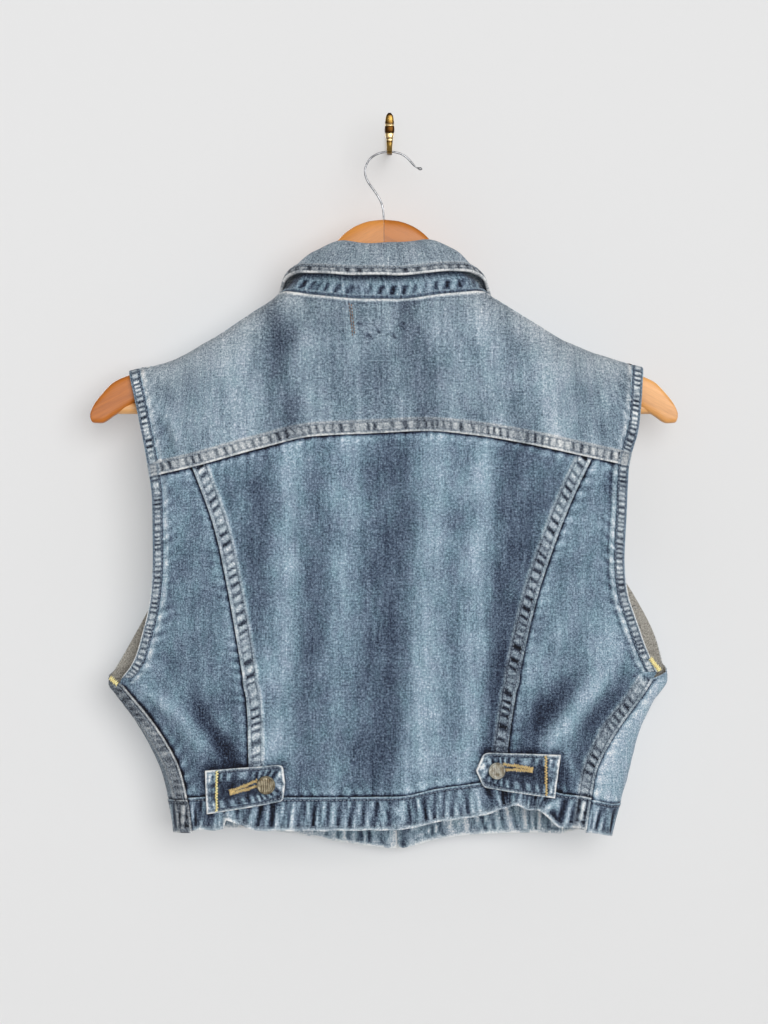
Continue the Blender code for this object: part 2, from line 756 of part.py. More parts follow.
# Waist tabs and their buttons
for tab in TABS:
    run = tab.head - tab.tail
    first, last = (tab.tail, tab.head) if run > 0 else (tab.head, tab.tail)

    def tab_shape(a, b, tab=tab, run=run):
        along = a if run > 0 else 1 - a
        point = tab.point * np.sign(run) * along * (1 - np.abs(2 * b - 1))
        x = tab.tail + run * along + point
        high = tab.top_tail + (tab.top_head - tab.top_tail) * along
        low = tab.low_tail + (tab.low_head - tab.low_tail) * along
        z = high + (low - high) * b
        return body(angle_at(x, z, BACK), z)

    points, normals = grid(tab_shape, 8, 4)
    wall("tab_" + tab.name, points, normals, TAB_LIFT, TAB_LIFT + DOUBLE_CLOTH, "denim", hanger_place)
    steps = np.array([[0.0, 1e-4, 0.0], [0.0, 0.0, 1e-4]])
    x = tab.button_x + steps[0]
    z = tab.button_z + steps[1]
    seat, aside, upward = body(angle_at(x, z, BACK), z)
    normal = Vector(np.cross(aside - seat, upward - seat)).normalized()
    place = Vector(seat) + normal * (TAB_LIFT + DOUBLE_CLOTH + GAP)
    profile = button_profile(tab.radius)
    turned("tab_button_" + tab.name, profile, place, normal, "button_metal", hanger_place)

# Front buttons on the placket
highest = float(front_neck(np.float64(FRONT_EDGE))) - 0.020
lowest = float(front_hem(np.float64(FRONT_EDGE))) + 0.014
for k in range(FRONT_BUTTONS):
    z = highest + (lowest - highest) * k / (FRONT_BUTTONS - 1)
    seat = body(angle_at(np.float64(FRONT_EDGE), z, FRONT_RIGHT), z)
    place = Vector(seat) + Vector((0, BAND_OUT + DOUBLE_CLOTH + 3 * GAP, 0))
    profile = button_profile(FRONT_BUTTON_RADIUS)
    turned(f"front_button_{k + 1}", profile, place, Vector((0, 1, 0)), "button_metal", hanger_place)

# Collar stand and fall, round the neck from the right front over the back to the left front
stations = np.arange(-STATIONS, STATIONS + 1)
turns = np.abs(stations) * STATION_TURN
sides = np.where(stations < 0, -1.0, 1.0)
collar_columns = zip(*COLLAR)
known_turns = next(collar_columns)
height, lean, drop, out, spread = (through(known_turns, column)(turns) for column in collar_columns)
neck_x = NECK_HALF * np.sin(turns * np.pi) * sides
on_back = turns < 0.5
neck_z = np.where(on_back, back_neck(neck_x), front_neck(neck_x))
neck_angle = angle_at(neck_x, neck_z, BACK)
neck_angle = np.where(on_back, neck_angle, sides * np.pi - neck_angle)
neck = body(neck_angle, neck_z)
outward = np.stack([np.sin(turns * np.pi) * sides, -np.cos(turns * np.pi), np.zeros_like(turns)], axis=-1)
up = np.array([0.0, 0.0, 1.0])
inside_x = neck_x - outward[:, 0] * STAND_CLOTH
inside_z = np.where(on_back, back_top(inside_x), front_top(inside_x))
base = neck + up * (3.2 * GAP + np.clip(inside_z - neck_z, 0, None))[:, None]
roll = neck + up * height[:, None] - outward * lean[:, None]
sweep = np.stack([np.abs(spread) * sides, np.zeros_like(spread), np.zeros_like(spread)], axis=-1)
tip = roll + outward * out[:, None] - up * drop[:, None] + sweep

under_roll = ROLL_RADIUS + 4 * GAP + FRONT_ROLL_CLEAR * ease((turns - 0.35) / 0.15)
under_roll = under_roll + SIDE_ROLL_CLEAR * np.exp(-(((turns - 0.55) / 0.08) ** 2))
stand_top = roll - outward * (ROLL_RADIUS - STAND_CLOTH) - up * under_roll[:, None]
rise = np.linspace(0, 1, 4)[:, None, None]
stand = base[None] + (stand_top - base)[None] * rise
stand = stand + outward[None] * STAND_BOW * height[None, :, None] * np.sin(rise * np.pi)
facing = np.broadcast_to(outward, stand.shape)
wall("collar_stand", stand, facing, -STAND_CLOTH, 0.0, "denim_pale", hanger_place)

fall_rows = []
fall_facing = []
for bend in (math.pi / 2, math.pi / 4):
    fall_rows.append(roll - outward * ROLL_RADIUS * math.sin(bend) - up * ROLL_RADIUS * (1 - math.cos(bend)))
    fall_facing.append(up * math.cos(bend) - outward * math.sin(bend))
bow = roll + outward * out[:, None] * FALL_BOW
for s in np.linspace(0, 1, 6):
    fall_rows.append(roll * (1 - s) ** 2 + bow * 2 * s * (1 - s) + tip * s * s)
    way_out = out * (2 * (1 - s) * FALL_BOW + 2 * s * (1 - FALL_BOW))
    way_down = 2 * s * drop
    facing = outward * way_down[:, None] + up * way_out[:, None]
    fall_facing.append(facing / np.linalg.norm(facing, axis=-1, keepdims=True))
fall = np.stack(fall_rows)
below = shoulder(fall[..., 0]) - fall[..., 2]
behind = fall[..., 1] < 0
lie_angle = angle_at(fall[..., 0], fall[..., 2], BACK)
lie_angle = np.where(behind, lie_angle, np.where(fall[..., 0] < 0, -np.pi, np.pi) - lie_angle)
lie = np.abs(body(lie_angle, fall[..., 2])[..., 1]) + FALL_CLEAR
resting = below > 0
resting = resting & (fall[..., 2] < np.where(behind, back_top(fall[..., 0]), front_top(fall[..., 0])))
deep = np.where(resting, np.maximum(np.abs(fall[..., 1]), lie), np.abs(fall[..., 1]))
fall[..., 1] = np.where(behind, -deep, deep)
wall("collar_fall", fall, np.stack(fall_facing), -DOUBLE_CLOTH, 0.0, "denim_pale", hanger_place)

# Hanger: one outline, rounded, then parted into two arms at the middle
shoulder_x = np.linspace(0.094, 0.188, 8)
half_top = [(r.x, r.z) for r in HANGER_TOP]
half_top += [(float(x), float(min(shoulder(x), shoulder(-x))) - HANGER_UNDER_CLOTH) for x in shoulder_x]
half_top += [(r.x, r.z) for r in HANGER_TIP]
half_low = [(r.x, r.z) for r in HANGER_LOW]
right_half = half_top + half_low
left_half = [(-x, z) for x, z in reversed(right_half[1:-1])]
outline = right_half + left_half
bar_bore = cutter("bar_bore", BAR_RADIUS + GAP, (-BAR_HALF - GAP, 0, BAR_AT), (BAR_HALF + GAP, 0, BAR_AT))
hook_bore = cutter("hook_bore", WIRE_RADIUS + GAP, (0, 0, WIRE[0].z - GAP), (0, 0, 0))
bar_bore.parent = hanger_place
hook_bore.parent = hanger_place
for side, look in ((-1, "hanger_wood"), (1, "hanger_wood_deep")):
    bm = solid_from_outline(outline, HANGER_HALF)
    edges = [e for e in bm.edges if abs(e.verts[0].co.y - e.verts[1].co.y) < 1e-6]
    bmesh.ops.bevel(bm, geom=edges, offset=HANGER_ROUNDING, segments=4, profile=0.5, affect="EDGES")
    cut = bmesh.ops.bisect_plane(
        bm,
        geom=bm.verts[:] + bm.edges[:] + bm.faces[:],
        plane_co=(side * HALF_GAP, 0, 0),
        plane_no=(-side, 0, 0),
        clear_outer=True,
    )
    bmesh.ops.holes_fill(bm, edges=[e for e in cut["geom_cut"] if isinstance(e, bmesh.types.BMEdge)])
    arm = add_mesh("hanger_arm_left" if side < 0 else "hanger_arm_right", bm, look, hanger_place)
    combine(arm, bar_bore, "DIFFERENCE")
    combine(arm, hook_bore, "DIFFERENCE")

bar_profile = ((BAR_RADIUS, 0.0), (BAR_RADIUS, 2 * BAR_HALF))
bar_start = Vector((-BAR_HALF, 0, BAR_AT))
turned("hanger_bar", bar_profile, bar_start, Vector((1, 0, 0)), "bar_wood", hanger_place, 18)

# Wire hook
wire_at = np.linspace(0, len(WIRE) - 1, 6 * len(WIRE))
wire_x = through(range(len(WIRE)), [r.x for r in WIRE])(wire_at)
wire_z = through(range(len(WIRE)), [r.z for r in WIRE])(wire_at)
path = bpy.data.curves.new("hanger_hook", "CURVE")
path.dimensions = "3D"
path.bevel_depth = WIRE_RADIUS
path.bevel_resolution = 2
path.use_fill_caps = True
spline = path.splines.new("POLY")
spline.points.add(len(wire_at) - 1)
for point, x, z in zip(spline.points, wire_x, wire_z):
    point.co = (x, 0, z, 1)
hook = bpy.data.objects.new("hanger_hook", path)
bpy.context.scene.collection.objects.link(hook)
path.materials.append(finish("hanger_hook", "hook_wire"))
hook.parent = hanger_place

# Wall hook: a plate with a screw hole, joined to a bar that turns up under the wire
bar_at = np.linspace(0, len(HOOK_BAR) - 1, 5 * len(HOOK_BAR))
bar_y, bar_z, bar_wide, bar_thick = (through(range(len(HOOK_BAR)), column)(bar_at) for column in zip(*HOOK_BAR))
bm = bmesh.new()
slope_y = np.gradient(bar_y)
slope_z = np.gradient(bar_z)
rings = []
for y, z, wide, thick, dy, dz in zip(bar_y, bar_z, bar_wide, bar_thick, slope_y, slope_z):
    length = math.hypot(dy, dz)
    ring = []
    for k in range(16):
        angle = 2 * math.pi * k / 16
        flat = math.copysign(abs(math.cos(angle)) ** 0.6, math.cos(angle)) * wide / 2
        lift = math.copysign(abs(math.sin(angle)) ** 0.6, math.sin(angle)) * thick / 2
        ring.append(bm.verts.new((flat, y - lift * dz / length, z + lift * dy / length)))
    rings.append(ring)
for low, high in zip(rings, rings[1:]):
    for k in range(16):
        bm.faces.new((low[k], low[(k + 1) % 16], high[(k + 1) % 16], high[k]))
bm.faces.new(rings[0])
bm.faces.new(rings[-1])
hook_bar = add_mesh("hook_bar", bm, "hook_brass", None)
hook_bar.hide_render = True
hook_bar.hide_viewport = True
bm = bmesh.new()
bmesh.ops.create_cube(bm, size=1.0)
bmesh.ops.scale(bm, vec=(PLATE_WIDTH, PLATE_THICK, PLATE_TALL), verts=bm.verts)
bmesh.ops.translate(bm, vec=(0, -PLATE_THICK / 2, 0), verts=bm.verts)
upright = [e for e in bm.edges if abs(e.verts[0].co.y - e.verts[1].co.y) > PLATE_THICK / 2]
bmesh.ops.bevel(bm, geom=upright, offset=PLATE_WIDTH * 0.3, segments=4, profile=0.5, affect="EDGES")
plate = add_mesh("wall_hook", bm, "hook_brass", None)
screw_bore = cutter("screw_bore", SCREW_BORE, (0, -2 * PLATE_THICK, SCREW_AT), (0, PLATE_THICK, SCREW_AT))
combine(plate, hook_bar, "UNION")
combine(plate, screw_bore, "DIFFERENCE")
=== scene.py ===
"""Looks for a cropped denim gilet on a wooden hanger and a brass wall hook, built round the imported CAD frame.

Metres, +Z up. The gilet's back faces -Y, and the wall is the plane y = 0.
Cloth is shaped about the hanger's middle plane, as the CAD solids are, and then moved to PLACE.
"""

import math
from collections import namedtuple

import bmesh
import bpy
import numpy as np
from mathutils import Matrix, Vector


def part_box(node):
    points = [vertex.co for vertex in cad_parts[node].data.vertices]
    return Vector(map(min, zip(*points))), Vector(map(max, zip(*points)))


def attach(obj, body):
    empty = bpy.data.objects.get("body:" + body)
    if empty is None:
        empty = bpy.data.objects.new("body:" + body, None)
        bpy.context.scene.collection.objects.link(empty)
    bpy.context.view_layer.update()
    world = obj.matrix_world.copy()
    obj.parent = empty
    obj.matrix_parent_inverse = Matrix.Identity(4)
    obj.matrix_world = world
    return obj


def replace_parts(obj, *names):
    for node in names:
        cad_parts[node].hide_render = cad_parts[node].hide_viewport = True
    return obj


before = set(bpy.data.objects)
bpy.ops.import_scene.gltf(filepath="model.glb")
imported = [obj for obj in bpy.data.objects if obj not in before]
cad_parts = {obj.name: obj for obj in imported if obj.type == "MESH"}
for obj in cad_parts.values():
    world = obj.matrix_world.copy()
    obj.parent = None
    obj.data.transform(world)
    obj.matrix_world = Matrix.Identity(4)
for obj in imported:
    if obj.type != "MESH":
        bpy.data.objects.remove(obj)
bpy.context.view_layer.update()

bar_low, bar_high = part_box("hanger_bar")
PLACE = np.array([(bar_low.x + bar_high.x) / 2, (bar_low.y + bar_high.y) / 2, 0.0])

# Driving sizes, as in the CAD solids
CLOTH, STAND_CLOTH, DOUBLE_CLOTH = 0.0013, 0.0016, 0.0022
GAP = 0.0003
HALF_GAP = GAP / 2
ROUND = 2.6
FOLD_RADIUS = 0.009
BULGE_RUN = 0.075
ARMHOLE_FROM, ARMHOLE_TO = -0.300, -0.404
NECK_HALF = 0.081
NECK_BULGE_BACK, NECK_BULGE_FRONT, NECK_BULGE_DOWN = 0.014, 0.008, 0.070
NECK_BULGE_HALF = 1.25 * NECK_HALF
FRONT_NECK_DROP = 0.064
FRONT_EDGE = 0.010
BAND_HEIGHT = 0.025
BAND_OUT = DOUBLE_CLOTH - CLOTH
ARMHOLE_BAND = 0.0090
PLACKET_WIDTH, PLACKET_BELOW_NECK = 0.034, 0.009
UNDERARM_LEFT, UNDERARM_RIGHT = -0.4175, -0.4130
BACK, FRONT_LEFT, FRONT_RIGHT = 0, -1, 1
SIDES = ("left", "right")

# The body's level sections: height, reach to the left and right, depth of the back and of the front
SECTIONS = (
    (-0.085, -0.240, 0.242, 0.021, 0.017), (-0.180, -0.230, 0.232, 0.023, 0.019),
    (-0.255, -0.217, 0.221, 0.024, 0.019), (-0.340, -0.209, 0.214, 0.022, 0.018),
    (-0.414, -0.210, 0.216, 0.020, 0.017), (-0.4306, -0.1985, 0.2040, 0.020, 0.017),
    (-0.4518, -0.1850, 0.1952, 0.021, 0.018), (-0.4911, -0.1668, 0.1845, 0.024, 0.021),
    (-0.5319, -0.1590, 0.1730, 0.026, 0.024), (-0.560, -0.156, 0.168, 0.026, 0.024),
)

# Edges that run down the body: the face each lies on, and the height and place across of its marks
EDGES = {
    "armhole_back_left": (BACK, (
        (-0.175, -0.1950), (-0.210, -0.1870), (-0.252, -0.1783), (-0.278, -0.1750), (-0.323, -0.1745),
        (-0.354, -0.1770), (-0.382, -0.1836), (-0.400, -0.1895), (-0.4125, -0.1985),
    )),
    "armhole_back_right": (BACK, (
        (-0.172, 0.1970), (-0.2025, 0.1950), (-0.2250, 0.1922), (-0.2400, 0.1878), (-0.252, 0.1848),
        (-0.293, 0.1828), (-0.323, 0.1815), (-0.346, 0.1838), (-0.3725, 0.1922), (-0.391, 0.1990),
        (-0.408, 0.2066),
    )),
    "side_left": (BACK, (
        (-0.4185, -0.1975), (-0.4435, -0.1764), (-0.4646, -0.1624), (-0.4812, -0.1541), (-0.5024, -0.1485),
        (-0.5350, -0.1440),
    )),
    "side_right": (BACK, (
        (-0.4150, 0.2030), (-0.4284, 0.1941), (-0.4491, 0.1787), (-0.4673, 0.1676), (-0.4843, 0.1600),
        (-0.5047, 0.1562), (-0.5350, 0.1515),
    )),
    "armhole_front_left": (FRONT_LEFT, (
        (-0.175, -0.1915), (-0.220, -0.1760), (-0.280, -0.1640), (-0.330, -0.1660), (-0.356, -0.1775),
        (-0.3906, -0.1960), (-0.4080, -0.2060),
    )),
    "armhole_front_right": (FRONT_RIGHT, (
        (-0.172, 0.1945), (-0.220, 0.1790), (-0.280, 0.1690), (-0.320, 0.1720), (-0.345, 0.1880),
        (-0.382, 0.2070), (-0.402, 0.2125),
    )),
    "princess_left": (BACK, (
        (-0.238, -0.1510), (-0.256, -0.1435), (-0.302, -0.1272), (-0.345, -0.1180), (-0.414, -0.1065),
        (-0.442, -0.1030), (-0.520, -0.1015),
    )),
    "princess_right": (BACK, (
        (-0.232, 0.1640), (-0.247, 0.1564), (-0.279, 0.1413), (-0.310, 0.1292), (-0.353, 0.1152),
        (-0.407, 0.1030), (-0.463, 0.0938), (-0.520, 0.0890),
    )),
}
EDGE_MARKS = 30

# How meshes are divided: a patch's first height and rounds of settling, samples of a length, steps of a crest
PATCH_START, PATCH_ROUNDS = -0.3, 40
SHARE_SAMPLES, CREST_STEPS = 3000, 12
SHARP_ANGLE = math.radians(50)

# Edges that run across the body, as place across and height
SHOULDER = (
    (-0.2000, -0.1825), (-0.1843, -0.1783), (-0.1617, -0.1720), (-0.1330, -0.1568), (-0.1103, -0.1430),
    (-0.0810, -0.1230), (0.0, -0.0780), (0.0810, -0.1230), (0.1133, -0.1430), (0.1352, -0.1560),
    (0.1564, -0.1650), (0.1783, -0.1723), (0.2000, -0.1795),
)
BACK_NECK = (
    (-0.0810, -0.1230), (-0.0740, -0.1206), (-0.0520, -0.1235), (-0.0150, -0.1273), (0.0083, -0.1275),
    (0.0470, -0.1226), (0.0740, -0.1202), (0.0810, -0.1230),
)
YOKE_SEAM = (
    (-0.1850, -0.2625), (-0.1435, -0.2531), (-0.0937, -0.2395), (-0.0529, -0.2303), (-0.0091, -0.2280),
    (0.0325, -0.2263), (0.0657, -0.2291), (0.1027, -0.2350), (0.1587, -0.2469), (0.1950, -0.2545),
)
BACK_HEM = (
    (-0.1600, -0.5292), (-0.1200, -0.5265), (-0.0950, -0.5270), (0.0100, -0.5262), (0.0416, -0.5200),
    (0.0740, -0.5155), (0.0970, -0.5090), (0.1150, -0.5120), (0.1320, -0.5240), (0.1511, -0.5268),
    (0.1730, -0.5325),
)
FRONT_HEM = (
    (-0.1600, -0.5300), (-0.1200, -0.5290), (-0.0730, -0.5335), (-0.0300, -0.5410), (0.0100, -0.5455),
    (0.0420, -0.5385), (0.0725, -0.5345), (0.1200, -0.5330), (0.1340, -0.5335), (0.1526, -0.5292),
    (0.1730, -0.5330),
)

# Folds that the CAD form has: place, the way each runs, half length, half width and how far it stands out
FOLDS = (
    (-0.052, -0.350, 90, 0.120, 0.020, 0.0022), (-0.002, -0.330, 90, 0.120, 0.018, -0.0022),
    (0.044, -0.370, 90, 0.130, 0.020, 0.0024), (-0.150, -0.440, -38, 0.034, 0.012, 0.0028),
    (-0.130, -0.456, -35, 0.034, 0.011, -0.0020), (0.146, -0.425, 66, 0.060, 0.013, 0.0030),
    (0.168, -0.432, 54, 0.030, 0.011, -0.0020),
)

# Smaller creases of the back, and pleats of the waistband where the tabs draw it in, in the same columns
CREASES = (
    (-0.1290, -0.4550, -51, 0.032, 0.0085, -0.0030), (-0.1450, -0.4500, -51, 0.030, 0.0085, 0.0026),
    (-0.1180, -0.4560, -58, 0.022, 0.0050, 0.0014), (-0.1320, -0.4730, -68, 0.010, 0.0040, -0.0014),
    (-0.1750, -0.4260, -40, 0.016, 0.0045, 0.0012), (-0.1600, -0.4280, -44, 0.020, 0.0050, -0.0010),
    (-0.1680, -0.4020, -58, 0.015, 0.0045, 0.0008), (0.1330, -0.4260, 52, 0.034, 0.0095, -0.0030),
    (0.1445, -0.4390, 48, 0.034, 0.0080, 0.0028), (0.1110, -0.4200, 74, 0.036, 0.0060, 0.0012),
    (0.1420, -0.4800, -72, 0.013, 0.0035, 0.0012), (0.1365, -0.4830, -76, 0.012, 0.0030, -0.0012),
    (0.1480, -0.4790, -66, 0.012, 0.0035, -0.0010), (0.1760, -0.3990, 62, 0.018, 0.0055, 0.0010),
    (0.1150, -0.4600, 78, 0.016, 0.0050, -0.0011), (-0.1640, -0.2290, -74, 0.012, 0.0034, -0.0015),
    (-0.1580, -0.2240, -70, 0.014, 0.0036, 0.0012), (-0.1690, -0.2110, -52, 0.010, 0.0035, 0.0010),
    (-0.1650, -0.1970, -44, 0.010, 0.0035, -0.0008), (0.1710, -0.2080, -66, 0.018, 0.0040, 0.0013),
    (0.1765, -0.2170, -62, 0.013, 0.0036, -0.0014), (0.1650, -0.2260, -74, 0.012, 0.0034, -0.0010),
    (-0.0780, -0.1660, 66, 0.040, 0.0110, -0.0012), (0.0900, -0.1750, -62, 0.045, 0.0120, 0.0010),
    (-0.1530, -0.2700, -66, 0.011, 0.0034, 0.0010), (-0.1650, -0.2700, -72, 0.010, 0.0030, -0.0010),
    (0.1690, -0.2600, 70, 0.012, 0.0034, -0.0010),
)
PLEATS = (
    (-0.1170, -0.5190, 78, 0.012, 0.0032, 0.0018), (-0.1085, -0.5190, 100, 0.012, 0.0030, -0.0018),
    (-0.1010, -0.5180, 84, 0.013, 0.0030, 0.0014), (0.0830, -0.5030, 86, 0.012, 0.0034, 0.0016),
    (0.0915, -0.5010, 94, 0.012, 0.0028, -0.0020), (0.1010, -0.5000, 88, 0.013, 0.0046, 0.0018),
    (0.1120, -0.5040, 96, 0.013, 0.0032, -0.0020), (0.1230, -0.5110, 112, 0.013, 0.0040, 0.0014),
)
CRUMPLES = 70

# Fading across the back mixed with painted light and shade of its long folds, as place across and how much
# paler
CENTRE_FADE_AND_SHADE = (
    (-0.150, -0.05), (-0.115, -0.02), (-0.096, -0.14), (-0.074, 0.135), (-0.053, -0.10), (-0.030, 0.07),
    (-0.010, -0.11), (0.008, -0.14), (0.034, 0.14), (0.052, 0.03), (0.070, 0.14), (0.090, -0.16),
    (0.104, -0.16), (0.125, -0.07), (0.165, 0.0),
)
YOKE_FADE_AND_SHADE = (
    (-0.190, 0.00), (-0.128, 0.09), (-0.098, 0.12), (-0.085, -0.01), (-0.075, -0.11), (-0.056, 0.09),
    (-0.030, -0.02), (-0.020, 0.02), (-0.006, -0.04), (0.008, 0.02), (0.027, -0.11), (0.054, 0.06),
    (0.068, 0.02), (0.080, 0.07), (0.098, -0.04), (0.125, 0.15), (0.140, 0.06), (0.160, 0.04), (0.190, 0.0),
)

# Unfaded patches left where a sewn-on square was taken off: place, half sizes and how much darker
GHOST = (
    (-0.0165, -0.1462, 0.0030, 0.0016, -0.18), (-0.0120, -0.1556, 0.0036, 0.0019, -0.22),
    (-0.0035, -0.1508, 0.0024, 0.0026, -0.20), (0.0062, -0.1546, 0.0026, 0.0022, -0.22),
    (0.0140, -0.1478, 0.0034, 0.0020, -0.20), (0.0205, -0.1552, 0.0028, 0.0016, -0.18),
    (0.0268, -0.1500, 0.0020, 0.0028, -0.22),
)
GHOST_POINTS, GHOST_LIFT, GHOST_STITCH, GHOST_THREAD = 40, 0.0003, 0.0026, 0.00042
GHOST_ROWS = (((-0.0262, -0.1292), (-0.0232, -0.1566)), ((-0.0246, -0.1300), (-0.0216, -0.1560)))

# How a seam looks along an edge: a strip sewn down twice, with puckers between its stitches
Strip = namedtuple("Strip", "width period slant ledge dip brim rim ridge pale dark grey seed")
STRIPS = {
    "princess": Strip(0.0110, 0.0066, 0.35, 0.0013, 0.0008, 0.0027, 0.28, 0.30, 0.30, 0.70, 0.50, 11),
    "yoke": Strip(0.0098, 0.0060, 0.10, 0.0013, 0.0006, 0.0019, 0.34, 0.14, 0.17, 0.52, 0.70, 21),
    "side": Strip(0.0105, 0.0062, 0.20, 0.0013, 0.0007, 0.0024, 0.30, 0.24, 0.24, 0.56, 0.60, 31),
    "side_front": Strip(0.0105, 0.0062, 0.20, 0.0013, 0.0007, 0.0015, 0.30, 0.14, 0.06, 0.40, 0.70, 31),
    "collar": Strip(0.0062, 0.0088, 0.15, 0.0005, 0.0006, 0.0018, 0.40, 0.06, 0.10, 0.52, 0.45, 51),
}
FELL_SOFT = 0.0016
TUCK, TUCK_DEPTH = 0.0020, 0.0004
STRIP_FINE = 0.0007
ARMHOLE_PERIOD = 0.0039
PUCKER_SHARE = np.array([1.3, 0.7, 0.6])[:, None, None]
# How dark a painted shadow line lies beside an armhole band, on the cloth that has one
SHADOW_BESIDE_ARMHOLE_BAND = {"back_side_right": 0.22}

# Pale and dark lines beside an edge or across a cloth, as weight, place and width
# Beside a lapping edge: a painted shadow line close to it, then a pale line
TUCK_SHADOW_LINES = ((-0.46, TUCK + 0.0002, 0.0012), (0.08, TUCK + 0.0042, 0.0022))
# Lower on the centre: a pale band and a dark one, fading mixed with painted shade of its folds
CENTRE_LOW_FADE_AND_SHADE = ((0.05, 0.038, 0.010), (-0.05, 0.058, 0.009))
BAND_TOP_LINES = ((0.20, 0.0003, 0.0010), (-0.34, 0.0022, 0.0008))
# At the waistband's front ends: a pale edge, then painted shade inside it
BAND_END_SHADE_LINES = ((0.40, 0.0004, 0.0010), (-0.50, 0.0048, 0.0030))
ARMHOLE_LINES = ((-0.20, 0.0012, 0.0006), (-0.28, 0.0073, 0.0007))
# Where the yoke seam crosses a back armhole band: a pale line, and a painted shadow line below the lapping yoke
CROSSING_SHADOW_LINES = ((0.20, 0.0004, 0.0009), (-0.34, -0.0010, 0.0009))
TAB_LINES = ((0.66, 0.0, 0.0016), (-0.10, 0.0020, 0.0006), (0.16, 0.0032, 0.0007))
FALL_LINES = ((-0.20, 0.0054, 0.0009), (0.04, 0.0078, 0.0016))

# Dips and swells in the same columns: a tab's edge, the drawn-in hem and the wire's open end
TAB_SINKS = ((-0.0005, 0.0, 0.0006), (-0.0003, 0.0019, 0.0007))
HEM_SCALLOP, HEM_DRAWN = 0.0003, ((0.0008, 0.104, 0.028), (0.0004, -0.110, 0.018))
WIRE_BEAD = ((0.00045, 0.35, 0.28), (-0.0007, 0.0, 0.10), (-0.00035, 0.95, 0.35))

# The collar from centre back to front: turn, the stand's height and lean, the fall's drop, reach and spread
COLLAR = (
    (0.00, 0.0433, 0.0090, 0.0256, 0.0190, 0.0), (0.13, 0.0432, 0.0095, 0.0258, 0.0190, 0.0),
    (0.25, 0.0335, 0.0100, 0.0175, 0.0140, 0.0), (0.36, 0.0220, 0.0120, 0.0090, 0.0098, 0.0),
    (0.50, 0.0200, 0.0130, 0.0100, 0.0100, 0.0), (0.66, 0.0200, 0.0080, 0.0360, 0.0180, 0.004),
    (0.84, 0.0190, 0.0060, 0.0600, 0.0160, 0.018), (0.97, 0.0180, 0.0050, 0.0620, 0.0140, 0.046),
)
COLLAR_END, COLLAR_STEPS = 0.95, 391
ROLL_RADIUS = 0.0036
STAND_BOW, STAND_STEPS = 0.055, 30
FALL_CLEAR, FALL_BOW = 0.0080, 0.65
FRONT_ROLL_CLEAR, SIDE_ROLL_CLEAR = 0.0018, 0.0020
ROLL_STEPS, FALL_REST_RUN, FALL_REST_SOFT = 9, 0.003, 0.0010

# Waist tabs: the four sides, the point of the free end, the button, the bar of stitches and the buttonhole
Tab = namedtuple(
    "Tab",
    "name tail head slant top_tail top_head low_tail low_head point "
    "button_x button_z radius bar hole_from hole_to",
)
TABS = (
    Tab("left", -0.1338, -0.0760, 0.0016, -0.4822, -0.4776, -0.5150, -0.5054, 0.0018,
        -0.0882, -0.4926, 0.0070, -0.1254, (-0.1150, -0.4982), (-0.0940, -0.4910)),
    Tab("right", 0.1304, 0.0750, -0.0042, -0.4699, -0.4685, -0.5027, -0.4950, 0.0060,
        0.0846, -0.4820, 0.0064, 0.1217, (0.1112, -0.4812), (0.0890, -0.4790)),
)
TAB_LIFT = 0.0016
TAB_HEIGHT = TAB_LIFT + DOUBLE_CLOTH
TAB_CORNER = 0.0035
FRONT_BUTTONS, FRONT_BUTTON_RADIUS = 5, 0.0085
BUTTON_SPOKES, BUTTON_RINGS = 72, 30
BUTTON_RIBS = 0.00165

# A button's underside from its rim to its shank, as share of its radius and height
BUTTON_UNDER = ((1.00, 0.0021), (0.96, 0.0015), (0.80, 0.0012), (0.45, 0.0010), (0.42, 0.0))

# The hanger's outline as place across and height: its top, then its tip, and its lower edge
HANGER_HALF = 0.006
HANGER_ROUNDING, HANGER_SQUARENESS = 0.0040, 0.42
HANGER_UNDER_CLOTH = 0.0020
HANGER_SHOULDER = (0.094, 0.188)
HANGER_STEPS, HANGER_SPOKES = 150, 40
HANGER_TOP = (
    (0.0, -0.0648), (0.010, -0.0658), (0.020, -0.0690), (0.029, -0.0746), (0.0360, -0.0818),
    (0.0430, -0.0925), (0.0510, -0.1040), (0.0600, -0.1180), (0.0700, -0.1298), (0.0810, -0.1340),
)
HANGER_TIP = (
    (0.2045, -0.1878), (0.2140, -0.1970), (0.2204, -0.2056), (0.2236, -0.2135),
)
HANGER_LOW = (
    (0.0, -0.1340), (0.0450, -0.1420), (0.0900, -0.1630), (0.1300, -0.1800), (0.1800, -0.1985),
    (0.2050, -0.2140), (0.2150, -0.2196), (0.2210, -0.2192), (0.2236, -0.2135),
)

# The wire hook's line, as place across and height
WIRE_RADIUS = 0.00086
WIRE_STEPS, WIRE_ROUNDS = 14, 60
WIRE = (
    (0.0, -0.1000), (0.0, -0.0600), (-0.0035, -0.0480), (-0.0130, -0.0353), (-0.0149, -0.0278),
    (-0.0115, -0.0188), (-0.0030, -0.0138), (0.0045, -0.0129), (0.0125, -0.0143), (0.0195, -0.0193),
    (0.0242, -0.0252), (0.0292, -0.0264),
)

# The wall hook: its plate, and a bar that runs out, under the wire and up to a turned end
PLATE_WIDTH, PLATE_LOW, PLATE_HIGH, PLATE_THICK = 0.0042, -0.0100, 0.0170, 0.0026
SCREW_BORE, SCREW_AT = 0.0016, 0.0095
PLATE_CORNERS = 48
BAR_STEPS, BAR_SPOKES, BAR_SQUARENESS = 16, 24, 0.75

